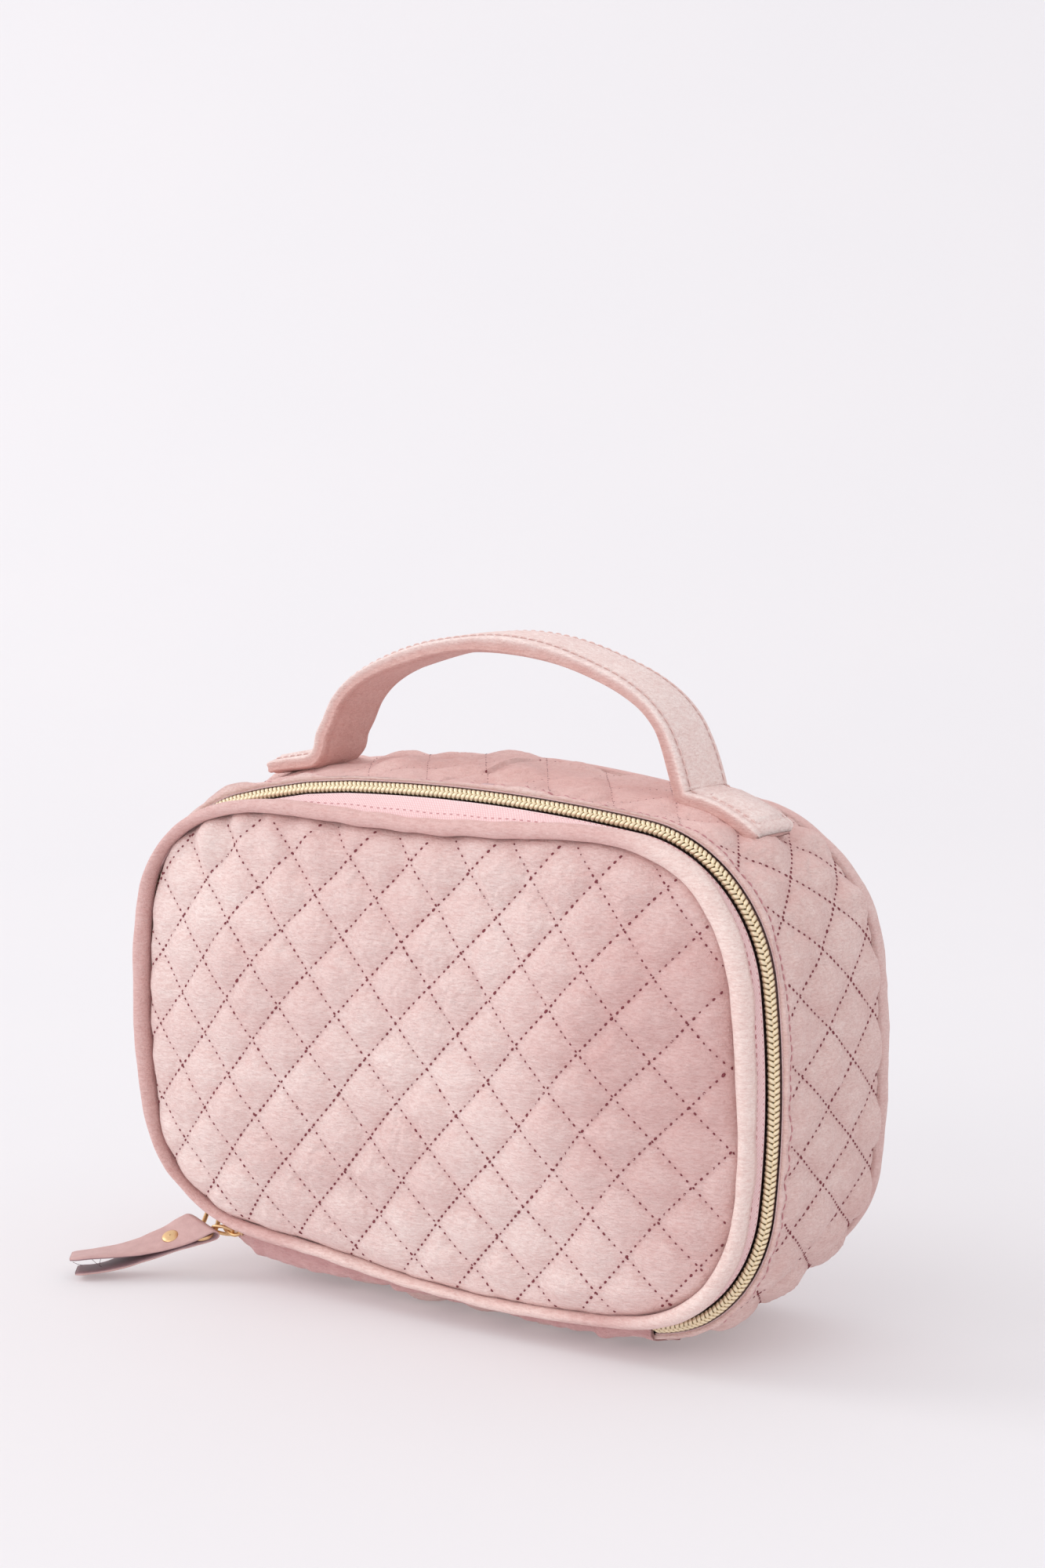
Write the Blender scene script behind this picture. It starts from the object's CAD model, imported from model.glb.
import math

import bpy
import numpy as np
from mathutils import Matrix, Vector


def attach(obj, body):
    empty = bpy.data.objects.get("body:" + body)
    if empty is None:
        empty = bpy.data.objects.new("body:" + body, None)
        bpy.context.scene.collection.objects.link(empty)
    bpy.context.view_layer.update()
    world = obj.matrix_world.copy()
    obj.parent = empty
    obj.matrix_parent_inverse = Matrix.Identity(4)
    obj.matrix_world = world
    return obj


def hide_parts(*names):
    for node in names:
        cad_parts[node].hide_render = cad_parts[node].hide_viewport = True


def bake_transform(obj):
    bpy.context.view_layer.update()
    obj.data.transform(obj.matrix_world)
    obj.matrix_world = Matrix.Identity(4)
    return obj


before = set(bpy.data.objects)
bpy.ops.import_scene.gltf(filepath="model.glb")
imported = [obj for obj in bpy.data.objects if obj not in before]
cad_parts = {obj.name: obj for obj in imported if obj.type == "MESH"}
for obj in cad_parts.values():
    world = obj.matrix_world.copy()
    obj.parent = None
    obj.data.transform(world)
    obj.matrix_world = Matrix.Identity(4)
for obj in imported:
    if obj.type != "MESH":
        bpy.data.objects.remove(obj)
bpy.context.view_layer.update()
rng = np.random.default_rng(11)
pi = math.pi

# ------------------------------------------------------------------ outlines (mm), the same arcs as the CAD rings
ZIP = (113.5, 74.2, 77.8, 260.0, 600.0, (45.0, 45.0, 62.0, 45.0))
LID = (107.5, 69.1, 76.9, 260.0, 600.0, (43.0, 43.0, 58.0, 43.0))


def corner(hw, hh, sr, tr, r):
    ax, az, ar = 0.0, hh - tr, tr - r
    bx, bz, br = hw - sr, 0.0, sr - r
    dx, dz = bx - ax, bz - az
    d = math.hypot(dx, dz)
    k = (ar * ar - br * br + d * d) / (2 * d)
    h = math.sqrt(ar * ar - k * k)
    px, pz = ax + k * dx / d, az + k * dz / d
    return max([(px + h * dz / d, pz - h * dx / d), (px - h * dz / d, pz + h * dx / d)], key=lambda p: p[0] + p[1])


def segs(base, s):
    hw, hh, mz, sr, tr, radii = base
    q = []
    for (sx, sz), r in zip(((1, 1), (-1, 1), (-1, -1), (1, -1)), radii):
        cx, cz = corner(hw, hh, sr, tr, r)
        q.append((sx, sz, cx, cz, r, math.atan2(cz - (hh - tr), cx), math.atan2(cz, cx - (hw - sr))))

    def ang(sx, sz, a):
        return math.atan2(math.sin(a) * sz, math.cos(a) * sx)

    a_tr, a_tl, a_bl, a_br = q
    arcs = [
        (0, mz + hh - tr, tr + s, ang(1, 1, a_tr[5]), ang(-1, 1, a_tl[5])),
        (-a_tl[2], mz + a_tl[3], a_tl[4] + s, ang(-1, 1, a_tl[5]), ang(-1, 1, a_tl[6])),
        (-(hw - sr), mz, sr + s, ang(-1, 1, a_tl[6]), ang(-1, -1, a_bl[6])),
        (-a_bl[2], mz - a_bl[3], a_bl[4] + s, ang(-1, -1, a_bl[6]), ang(-1, -1, a_bl[5])),
        (0, mz - hh + tr, tr + s, ang(-1, -1, a_bl[5]), ang(1, -1, a_br[5])),
        (a_br[2], mz - a_br[3], a_br[4] + s, ang(1, -1, a_br[5]), ang(1, -1, a_br[6])),
        (hw - sr, mz, sr + s, ang(1, -1, a_br[6]), ang(1, 1, a_tr[6])),
        (a_tr[2], mz + a_tr[3], a_tr[4] + s, ang(1, 1, a_tr[6]), ang(1, 1, a_tr[5])),
    ]
    out = []
    for cx, cz, r, a0, a1 in arcs:
        while a1 < a0 - 1e-9:
            a1 += 2 * pi
        while a1 - a0 > pi:
            a1 -= 2 * pi
        out.append((cx, cz, r, a0, a1))
    return out


class Loop:
    """Closed outline; at(u) gives points and outward normals at arc length u (mm) of the s = 0 line, clockwise from top centre."""

    def __init__(self, base):
        S = segs(base, 0.0)
        self.S = np.array(S)
        L = np.array([abs(r * (a1 - a0)) for _, _, r, a0, a1 in S])
        self.L, self.C = L, np.concatenate([[0], np.cumsum(L)])
        self.per = self.C[-1]
        self.mid = L[0] / 2  # arc length, counter-clockwise, from the first arc's start to top centre

    def at(self, u, s=0.0):
        v = (self.mid - np.asarray(u, float)) % self.per
        i = np.clip(np.searchsorted(self.C, v, side="right") - 1, 0, 7)
        cx, cz, r, a0, a1 = self.S[i].T if np.ndim(v) else self.S[i]
        a = a0 + (a1 - a0) * (v - self.C[i]) / self.L[i]
        n = np.stack([np.cos(a), np.sin(a)], -1)
        rr = np.asarray(r + s)
        return np.stack([cx, cz], -1) + rr[..., None] * n, n

    def inside(self, x, z, s=0.0):
        """Signed distance inwards from the offset loop, for points near or inside it."""
        d = np.full(np.shape(x), 1e9)
        for cx, cz, r, a0, a1 in self.S:
            dx, dz = x - cx, z - cz
            a = np.arctan2(dz, dx)
            m = (a0 + a1) / 2
            rel = (a - m + pi) % (2 * pi) - pi
            ok = np.abs(rel) <= (a1 - a0) / 2 + 1e-6
            dd = r + s - np.hypot(dx, dz)
            d = np.where(ok & (dd < d), dd, d)
        return d


ZL, LL = Loop(ZIP), Loop(LID)


def lerp(x, pts):
    a = np.array(pts, float)
    return np.interp(x, a[:, 0], a[:, 1])


def smooth(t):
    t = np.clip(t, 0, 1)
    return t * t * (3 - 2 * t)


class Waves:
    """Smooth seeded noise: a sum of plane waves."""

    def __init__(self, seed, n, w0, w1):
        r = np.random.default_rng(seed)
        w = np.exp(r.uniform(math.log(w0), math.log(w1), n))
        d = r.normal(size=(n, 3))
        d /= np.linalg.norm(d, axis=1)[:, None]
        self.k = d * (2 * pi / w)[:, None]
        self.p = r.uniform(0, 2 * pi, n)
        self.a = math.sqrt(2.0 / n)

    def __call__(self, x, y=0.0, z=0.0):
        x, y, z = np.broadcast_arrays(np.asarray(x, float), np.asarray(y, float), np.asarray(z, float))
        o = np.zeros(x.shape)
        for (kx, ky, kz), p in zip(self.k, self.p):
            o += np.sin(kx * x + ky * y + kz * z + p)
        return o * self.a


n_big = Waves(1, 14, 45, 120)
n_mid = Waves(2, 18, 14, 34)
n_small = Waves(3, 20, 4, 9)
n_warp = Waves(4, 12, 50, 110)


# ------------------------------------------------------------------ mesh helpers (input in mm, stored in metres)
def make(name, V, quads=None, tris=None, uv=None, attrs=None, smooth_shade=True):
    V = np.asarray(V, float).reshape(-1, 3) * 0.001
    faces = []
    if quads is not None and len(quads):
        faces.append(np.asarray(quads, np.int32))
    if tris is not None and len(tris):
        faces.append(np.asarray(tris, np.int32))
    me = bpy.data.meshes.new(name)
    me.vertices.add(len(V))
    me.vertices.foreach_set("co", V.astype(np.float32).ravel())
    total = np.concatenate([np.full(len(f), f.shape[1], np.int32) for f in faces])
    loops = np.concatenate([f.ravel() for f in faces]).astype(np.int32)
    me.loops.add(len(loops))
    me.loops.foreach_set("vertex_index", loops)
    me.polygons.add(len(total))
    me.polygons.foreach_set("loop_start", np.concatenate([[0], np.cumsum(total)[:-1]]).astype(np.int32))
    me.polygons.foreach_set("loop_total", total)
    me.polygons.foreach_set("use_smooth", np.full(len(total), smooth_shade))
    me.update(calc_edges=True)
    me.validate()
    if uv is not None:
        layer = me.uv_layers.new(name="map")
        layer.data.foreach_set("uv", np.asarray(uv, np.float32)[loops].ravel())
    for k, v in (attrs or {}).items():
        at = me.attributes.new(k, "FLOAT", "POINT")
        at.data.foreach_set("value", np.asarray(v, np.float32).ravel())
    ob = bpy.data.objects.new(name, me)
    bpy.context.scene.collection.objects.link(ob)
    return ob


def quads_of(n, m, wrap_n=False, wrap_m=False, flip=False, base=0):
    i = np.arange(n if wrap_n else n - 1)
    j = np.arange(m if wrap_m else m - 1)
    I, J = np.meshgrid(i, j, indexing="ij")
    I2, J2 = (I + 1) % n, (J + 1) % m
    q = np.stack([I * m + J, I * m + J2, I2 * m + J2, I2 * m + J], -1).reshape(-1, 4) + base
    return q[:, ::-1] if flip else q


def grid(name, P, wrap_n=False, wrap_m=False, flip=False, uv=None, attrs=None, caps=False):
    """Mesh from an array of points (n, m, 3). caps closes the two ends of an m-wrapped tube."""
    n, m = P.shape[:2]
    V = P.reshape(-1, 3)
    q = quads_of(n, m, wrap_n, wrap_m, flip)
    tris = []
    uvf = None if uv is None else uv.reshape(-1, 2)
    if caps:
        for row, rev in ((0, False), (n - 1, True)):
            c = len(V)
            V = np.vstack([V, P[row].mean(0)])
            if uvf is not None:
                uvf = np.vstack([uvf, uv[row].mean(0)])
            attrs = {k: np.append(np.ravel(a), np.ravel(a)[row * m]) for k, a in (attrs or {}).items()}
            a = row * m + np.arange(m)
            b = row * m + (np.arange(m) + 1) % m
            t = np.stack([np.full(m, c), a, b], -1)
            tris.append(t[:, ::-1] if rev != flip else t)
    return make(name, V, q, np.vstack(tris) if tris else None, uvf, attrs)


def frames(P, up=None, closed=False):
    """Tangents, sides and ups along a path."""
    T = (np.roll(P, -1, 0) - np.roll(P, 1, 0)) if closed else np.gradient(P, axis=0)
    T /= np.linalg.norm(T, axis=1)[:, None]
    if up is None:
        up = np.array([0.0, 0.0, 1.0])
    up = np.broadcast_to(up, P.shape)
    S = np.cross(T, up)
    S /= np.linalg.norm(S, axis=1)[:, None]
    return T, S, np.cross(S, T)


def tube(name, P, r, sides=8, closed=False, up=None):
    P = np.asarray(P, float)
    T, S, N = frames(P, up, closed)
    a = np.linspace(0, 2 * pi, sides, endpoint=False)
    r = np.broadcast_to(np.asarray(r, float), (len(P),))
    G = P[:, None] + r[:, None, None] * (np.cos(a)[None, :, None] * S[:, None] + np.sin(a)[None, :, None] * N[:, None])
    return grid(name, G, wrap_n=closed, wrap_m=True, caps=not closed)


def capsules(name, A, B, R, N, sides=6, sag=0.0):
    """Many short stitches from A to B with radius R, arched along N; one mesh."""
    A, B, N = (np.asarray(v, float) for v in (A, B, N))
    k = len(A)
    R = np.broadcast_to(np.asarray(R, float), (k,))
    T = B - A
    T /= np.linalg.norm(T, axis=1)[:, None]
    S = np.cross(T, N)
    S /= np.linalg.norm(S, axis=1)[:, None]
    U = np.cross(S, T)
    ts = np.array([0.0, 0.06, 0.25, 0.5, 0.75, 0.94, 1.0])
    rs = np.array([0.15, 0.7, 1.0, 1.05, 1.0, 0.7, 0.15])
    hs = np.array([-0.9, -0.3, 0.5, 0.7, 0.5, -0.3, -0.9])
    a = np.linspace(0, 2 * pi, sides, endpoint=False)
    C = A[:, None] + (B - A)[:, None] * ts[None, :, None] + U[:, None] * (hs[None, :, None] * (R * 0.9 + sag)[:, None, None])
    G = C[:, :, None] + (R[:, None] * rs[None])[:, :, None, None] * (
        np.cos(a)[None, None, :, None] * S[:, None, None] + np.sin(a)[None, None, :, None] * U[:, None, None]
    )
    n = len(ts)
    q0 = quads_of(n, sides, False, True)
    q = (q0[None] + (np.arange(k) * n * sides)[:, None, None]).reshape(-1, 4)
    caps = []
    fan = np.array([[0, i, i + 1] for i in range(1, sides - 1)])
    for off, rev in ((0, False), ((n - 1) * sides, True)):
        f = fan[:, ::-1] if not rev else fan
        caps.append((f[None] + off + (np.arange(k) * n * sides)[:, None, None]).reshape(-1, 3))
    return make(name, G.reshape(-1, 3), q, np.vstack(caps))


def dots(name, P, N, D, R):
    """Needle holes: small sunk discs at P with normal N, long axis D, radius R; one mesh."""
    P, N, D = (np.asarray(v, float) for v in (P, N, D))
    k = len(P)
    D = D - (D * N).sum(1)[:, None] * N
    D /= np.linalg.norm(D, axis=1)[:, None]
    E = np.cross(N, D)
    sides = 8
    a = np.linspace(0, 2 * pi, sides, endpoint=False)
    rim = P[:, None] + R[:, None, None] * (1.25 * np.cos(a)[None, :, None] * D[:, None] + 0.85 * np.sin(a)[None, :, None] * E[:, None])
    V = np.concatenate([rim - 0.30 * N[:, None], rim * 0 + (P + 0.24 * N)[:, None] + 0.70 * (rim - P[:, None]), (P + 0.10 * N)[:, None]], 1)
    per = 2 * sides + 1
    i = np.arange(sides)
    j = (i + 1) % sides
    q0 = np.stack([i, j, j + sides, i + sides], -1)
    t0 = np.stack([i + sides, j + sides, np.full(sides, 2 * sides)], -1)
    b0 = np.stack([np.full(sides - 2, 0), i[2:], i[1:-1]], -1)
    o = (np.arange(k) * per)[:, None, None]
    return make(name, V.reshape(-1, 3), (q0[None] + o).reshape(-1, 4), np.vstack([(t0[None] + o).reshape(-1, 3), (b0[None] + o).reshape(-1, 3)]))


# ------------------------------------------------------------------ quilted puffs: a block of diamonds filled by cloth simulation
CELL = 16  # cloth cells along one side of a diamond
BLK = 4  # the block is BLK x BLK diamonds


def puff_block():
    n = BLK * CELL + 1
    p = np.linspace(0, BLK, n)
    Pp, Q = np.meshgrid(p, p, indexing="ij")
    fallback = (np.abs(np.sin(pi * Pp)) * np.abs(np.sin(pi * Q))) ** 0.62
    s = 10.0  # the cloth is solved at ten times life size
    x, z = 10.6e-3 * s * (Pp + Q), 11.3e-3 * s * (Pp - Q)
    r = np.random.default_rng(5)
    start = 0.010 * fallback + 0.0012 * r.normal(size=Pp.shape) * (fallback > 0.05)
    V = np.stack([x, z, start], -1).reshape(-1, 3)
    ob = make("puff_block", V * 1000, quads_of(n, n, flip=True))
    vg = ob.vertex_groups.new(name="pin")
    on = (np.abs(Pp - np.round(Pp)) < 1e-6) | (np.abs(Q - np.round(Q)) < 1e-6)
    vg.add([int(i) for i in np.flatnonzero(on.ravel())], 1.0, "REPLACE")
    m = ob.modifiers.new("cloth", "CLOTH")
    st = m.settings
    st.quality = 6
    st.mass = 0.15
    st.tension_stiffness = st.compression_stiffness = 12
    st.shear_stiffness = 6
    st.bending_stiffness = 0.25
    st.air_damping = 2
    st.vertex_group_mass = "pin"
    st.shrink_min = -0.055
    st.use_pressure = True
    st.uniform_pressure_force = 4.0
    st.pressure_factor = 1.0
    st.effector_weights.gravity = 0
    m.collision_settings.use_collision = False
    m.point_cache.frame_start, m.point_cache.frame_end = 1, 24
    sc = bpy.context.scene
    for f in range(1, 25):
        sc.frame_set(f)
    dg = bpy.context.evaluated_depsgraph_get()
    e = ob.evaluated_get(dg)
    co = np.zeros(len(ob.data.vertices) * 3, np.float32)
    e.data.vertices.foreach_get("co", co)
    h = co.reshape(-1, 3)[:, 2].reshape(n, n).astype(float)
    sc.frame_set(1)
    bpy.data.objects.remove(ob)
    if not np.isfinite(h).all() or np.abs(h).max() > 0.2:
        print("PUFF: cloth result out of range, plain puffs used")
        return fallback
    if h.mean() < 0:
        h = -h
    print("PUFF height mm", h.max() * 1000 / s, "mean", h.mean() * 1000 / s)
    return h / np.percentile(h, 99.0)


BLOCK = puff_block()
DIAG = BLOCK.shape[0] - 1


def puff(p, q):
    """Puff height 0..1 at quilt coordinates; every diamond takes a cloth-simulated diamond of the block."""
    i, j = np.floor(p).astype(int), np.floor(q).astype(int)
    hsh = (i * 73856093) ^ (j * 19349663)
    bi, bj = (hsh % BLK), ((hsh // 7) % BLK)
    a = (bi + (p - i)) * CELL
    b = (bj + (q - j)) * CELL
    a0, b0 = np.clip(np.floor(a).astype(int), 0, DIAG - 1), np.clip(np.floor(b).astype(int), 0, DIAG - 1)
    fa, fb = a - a0, b - b0
    H = BLOCK
    h = H[a0, b0] * (1 - fa) * (1 - fb) + H[a0 + 1, b0] * fa * (1 - fb) + H[a0, b0 + 1] * (1 - fa) * fb + H[a0 + 1, b0 + 1] * fa * fb
    size = 0.86 + 0.14 * np.sin(hsh % 97)
    return np.clip(h, 0, None) * size


def groove(p, q, gap):
    """Distance in mm to the nearest quilting line."""
    return gap * np.minimum(np.abs(p - np.round(p)), np.abs(q - np.round(q)))


def pq_face(x, z):
    """Quilt coordinates on the lid and the back, slightly wavy like hand-fed cloth."""
    wx = x + 0.55 * n_warp(x, 0, z)
    wz = z + 0.55 * n_warp(x + 400, 0, z)
    return (wx + 0.8) / 21.2 + (wz - 87.5) / 22.6, (wx + 0.8) / 21.2 - (wz - 87.5) / 22.6


GAP_F = 1 / math.hypot(1 / 21.2, 1 / 22.6)
GY = 29.0
PER_S = ZL.per + 2 * pi * 3.8
GU = PER_S / 31


def pq_gusset(u, y):
    """u: arc length, mm, of the outer skin, clockwise from top centre."""
    wy = y + 0.5 * n_warp(u * 0.8, 7, y) * np.cos(pi * y / 90)
    return (u - 164) / GU + (wy - 5) / GY, (u - 164) / GU - (wy - 5) / GY


GAP_G = 1 / math.hypot(1 / GU, 1 / GY)


# ------------------------------------------------------------------ slump of the real bag
# visible edge of the quilted lid panel, and outer edge of the piping round it (x, z in mm)
PANEL_EDGE = [(-102.3, 100), (-102.7, 92), (-102.6, 78), (-102.2, 66), (-100.8, 52.5), (-98.9, 41), (-93.7, 31), (-85, 23.7), (-72.5, 19.6), (-60, 18.6), (-47.5, 17.8), (-35, 16.9), (-22.5, 15.3), (-10, 13.9), (2.5, 13), (15, 12.5), (27.5, 12.4), (40, 12.8), (52.5, 13.5), (65, 14.6), (77.5, 16.8), (86, 20.4), (94, 26.5), (100, 34), (103.7, 42), (105.6, 54), (105.6, 75), (104.6, 92), (102.9, 108.7), (100.4, 118.5), (96.6, 126), (90, 133.7), (82.5, 138.4), (75, 141), (65, 142.3), (55, 142.5), (40, 141.7), (27.5, 140.8), (10, 140.1), (-3.7, 140.1), (-20, 140.5), (-35, 141.2), (-47.5, 141.9), (-60, 141.6), (-70, 140.2), (-80, 137.3), (-87.5, 133.7), (-93.7, 128.9), (-97.6, 123.7), (-100.6, 116.2), (-101.8, 108)]
PIPING_EDGE = [(-108, 100), (-108.3, 90), (-108.2, 78), (-107.4, 64), (-105.4, 50), (-102.5, 40.5), (-96.2, 30.5), (-86.5, 22.5), (-78.7, 19), (-68.7, 15.7), (-60, 14.3), (-47.5, 13.4), (-35, 12.3), (-22.5, 10.8), (-3.7, 8.8), (15, 8.1), (40, 8.1), (52.5, 8.7), (65, 10.2), (77.5, 12.6), (90, 17), (99, 23.7), (105.6, 32.5), (109.4, 43.7), (110.8, 58), (111.2, 75), (110.8, 95), (109.8, 111), (107.3, 121), (102.5, 130), (95, 138.5), (85, 144.3), (75, 146.9), (65, 147.7), (55, 148), (40, 146.9), (21, 145.7), (2.5, 145.2), (-16, 145.5), (-35, 146.4), (-47.5, 147), (-60, 146.5), (-72.5, 144.7), (-80, 142.5), (-87.5, 139), (-93.7, 134.4), (-98.7, 128.7), (-103.7, 120.7), (-106.5, 112)]
LC = np.array([0.0, 77.0])


class Edge:
    """Smooth closed outline through points, as a radius over the angle round the middle of the lid."""

    def __init__(self, pts, grow=0.0):
        q = np.array(pts, float) - LC
        th = np.arctan2(q[:, 1], q[:, 0]) % (2 * pi)
        r = np.hypot(q[:, 0], q[:, 1])
        o = np.argsort(th)
        th, r = th[o], r[o]
        n = 1440
        self.th = np.arange(n) * 2 * pi / n
        rr = np.interp(self.th, np.concatenate([[th[-1] - 2 * pi], th, [th[0] + 2 * pi]]), np.concatenate([[r[-1]], r, [r[0]]]))
        k = np.exp(-0.5 * (np.arange(-24, 25) / 7.0) ** 2)
        k /= k.sum()
        rr = np.convolve(np.concatenate([rr[-24:], rr, rr[:24]]), k, "valid")
        P = LC + rr[:, None] * np.stack([np.cos(self.th), np.sin(self.th)], -1)
        T = np.roll(P, -1, 0) - np.roll(P, 1, 0)
        N = np.stack([T[:, 1], -T[:, 0]], -1)
        N /= np.linalg.norm(N, axis=1)[:, None]
        P = P + N * grow
        self.P, self.N = P, N
        d = np.linalg.norm(np.roll(P, -1, 0) - P, axis=1)
        self.c = np.concatenate([[0], np.cumsum(d)])
        self.per = self.c[-1]
        # distance field on a 1 mm grid
        gx, gz = np.arange(-125, 126, 1.0), np.arange(-5, 166, 1.0)
        X, Z = np.meshgrid(gx, gz, indexing="ij")
        G = np.stack([X.ravel(), Z.ravel()], -1)
        Q = P[::2]
        best = np.full(len(G), 1e9)
        for i in range(0, len(Q), 60):
            dd = ((G[:, None] - Q[None, i : i + 60]) ** 2).sum(-1).min(1)
            best = np.minimum(best, dd)
        t = np.arctan2(G[:, 1] - LC[1], G[:, 0] - LC[0]) % (2 * pi)
        R_ = np.interp(t, np.append(self.th, 2 * pi), np.append(np.linalg.norm(P - LC, axis=1), np.linalg.norm(P[0] - LC)))
        sg = np.where(np.hypot(G[:, 0] - LC[0], G[:, 1] - LC[1]) < R_, 1, -1)
        self.F = (np.sqrt(best) * sg).reshape(X.shape)

    def at(self, f):
        """Point and outward normal at fraction f of the length, counter-clockwise from the right."""
        s_ = (np.asarray(f, float) % 1.0) * self.per
        k = s_ * 0 + np.interp(s_, self.c, np.arange(len(self.c)))
        i = np.floor(k).astype(int) % len(self.P)
        j = (i + 1) % len(self.P)
        w_ = (k - np.floor(k))[..., None]
        return self.P[i] * (1 - w_) + self.P[j] * w_, self.N[i] * (1 - w_) + self.N[j] * w_

    def inside(self, x, z, s=0.0):
        a = np.clip(np.asarray(x, float) + 125, 0, 249.999)
        b = np.clip(np.asarray(z, float) + 5, 0, 169.999)
        i, j = a.astype(int), b.astype(int)
        fa, fb = a - i, b - j
        F = self.F
        return F[i, j] * (1 - fa) * (1 - fb) + F[i + 1, j] * fa * (1 - fb) + F[i, j + 1] * (1 - fa) * fb + F[i + 1, j + 1] * fa * fb + s


def nudge(pts, low, left, right, top, diag):
    """Edge points moved by small amounts: low/top act on z by x, left/right on x."""
    out = []
    for x, z in pts:
        kb, kt = float(smooth((45 - z) / 25)), float(smooth((z - 118) / 18))
        kl, kr = float(smooth((-x - 78) / 20)), float(smooth((x - 78) / 20))
        kc = diag * math.exp(-(((x + 86) / 13) ** 2) - ((z - 27) / 12) ** 2)
        out.append((x + left * kl + right * kr + kc, z + float(lerp(x, low)) * kb + top * kt + kc))
    return out


PE = Edge(nudge(PANEL_EDGE, [(-105, -0.2), (-41, -0.8), (-3, -1.3), (35, -1.7), (60, -2.0), (95, -2.4), (110, -1.5)], -0.3, 1.5, 0.9, 1.3))
OE = Edge(nudge(PIPING_EDGE, [(-105, 0.3), (-41, 0.9), (-3, 1.3), (35, 0.9), (58, 0.3), (76, -1.0), (96, -1.6), (110, -0.8)], 1.3, -0.1, -0.6, 1.5))
_u = np.linspace(0, ZL.per, 2001)
_p, _n = ZL.at(_u)
_t = np.arctan2(_p[:, 1] - 77.8, _p[:, 0]) % (2 * pi)
_o = np.argsort(_t)
NT_, NX_, NZ_ = _t[_o], _n[_o, 0], _n[_o, 1]


def warp_body(P):
    """How the filled, standing bag differs from its flat pattern: tighter left edge, tapered back, lifted front foot."""
    P = np.array(P, float)
    x, y, z = P[..., 0].copy(), P[..., 1], P[..., 2].copy()
    t = np.arctan2(z - 77.8, x) % (2 * pi)
    nx, nz = np.interp(t, NT_, NX_), np.interp(t, NT_, NZ_)
    front = 0.25 + 0.75 * smooth((8 - y) / 34)
    d = lerp(np.degrees(t), [(0, 0), (112, 0), (122, 0.5), (131, 2.0), (140, 4.3), (148, 5.4), (156, 4.6), (168, 3.6), (190, 3.3), (203, 2.4), (216, 1.0), (226, 0.2), (235, 0), (360, 0)]) * front
    x -= nx * d
    z -= nz * d
    r = smooth((y + 22) / 50)
    x -= np.sign(x) * 3.4 * r * smooth((np.abs(x) - 55) / 45)
    z += r * smooth((z - 105) / 40) * lerp(x, [(-115, 1.0), (-90, 2.5), (-74, 3.4), (-57, 2.6), (-32, 2.0), (-3, 2.0), (12, 1.1), (42, -1.0), (72, -0.8), (90, -1.8), (115, -1.2)])
    z += 3.0 * r * smooth((48 - z) / 34) * smooth((np.abs(x) - 62) / 34)
    low = np.clip((52 - z) / 42, 0, 1) ** 1.2
    toe = np.clip((-y - 17.5) / 15.5, 0, 1.15) ** 1.4
    left = smooth((14 - y) / 46)
    z += low * (lerp(x, [(-120, 0.5), (-95, 1.2), (-75, 1.6), (-41, 4.6), (-25, 6.2), (-10, 6.8), (9, 6.3), (35, 4.8), (56, 3.4), (72, 1.6), (92, 0.2), (110, 0)]) * toe + lerp(x, [(-120, 1.2), (-100, 3.0), (-78, 3.9), (-60, 2.0), (-41, 0.8), (-15, 0), (120, 0)]) * left)
    P[..., 0], P[..., 2] = x, floor_clamp(z)
    return P


def floor_clamp(z, lo=0.12, k=1.1):
    t = (z - lo) / k
    return lo + k * np.where(t > 20, t, np.log1p(np.exp(np.clip(t, -40, 20))))


# ------------------------------------------------------------------ lid panel
NT = 900


def lid_height(x, z):
    """y of the lid's outer face."""
    dd = np.clip(PE.inside(x, z), 0, None)
    crown = 9.6 * (1 - (1 - np.clip(dd / 62, 0, 1)) ** 1.9)
    p, q = pq_face(x, z)
    edge = smooth(dd / 8)
    h = puff(p, q) ** 1.15 * 2.9 * (0.35 + 0.65 * edge)
    g = groove(p, q, GAP_F)
    h -= 0.10 * np.exp(-((g / 1.1) ** 2)) * edge
    # vertical puckers below the top seam, strongest to the left
    pk = np.clip((z - 104) / 36, 0, 1) ** 1.2 * lerp(x, [(-105, 0.3), (-75, 1), (-30, 0.9), (20, 0.3), (100, 0.2)])
    h += 1.25 * pk * np.sin(2 * pi * (x + 4 * n_big(x, 3, z)) / 17.0) + 0.4 * pk * n_mid(x * 1.6, 1, z * 0.5)
    h += 0.24 * n_mid(x, 0, z) * edge + 0.55 * n_big(x, 5, z) * edge + 0.035 * n_small(x, 0, z)
    roll = 3.4 * np.exp(-((dd / 1.35) ** 1.15))
    return -40.7 - crown - h + roll


f_f = np.arange(NT) / NT
E0, N0 = PE.at(f_f)
tt_ = (np.arange(106) / 105.65) ** 1.0
rings = [E0 + N0 * 1.5, E0 + N0 * 0.7]
rings += [LC + (E0 - LC) * (1 - t) for t in tt_]
R = np.stack(rings, 0)
X, Z = R[..., 0], R[..., 1]
Y = lid_height(X, Z)
Y[0] += 1.6
Y[1] += 0.6
p, q = pq_face(X, Z)
edge_d = np.clip(PE.inside(X, Z), 0, None)
crease = np.exp(-((groove(p, q, GAP_F) / 0.9) ** 2)) * smooth(edge_d / 3)
crease = np.maximum(crease, np.exp(-((edge_d / 0.9) ** 1.5)) * 0.9)
front = np.stack([X, Y, Z], -1)
BP = np.stack([LC + (E0 - LC) * (1 - t) * 0.99 for t in (0.0, 0.03, 0.12, 0.3, 0.55, 0.8)], 0)
dB = np.clip(PE.inside(BP[..., 0], BP[..., 1]), 0, None)
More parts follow.
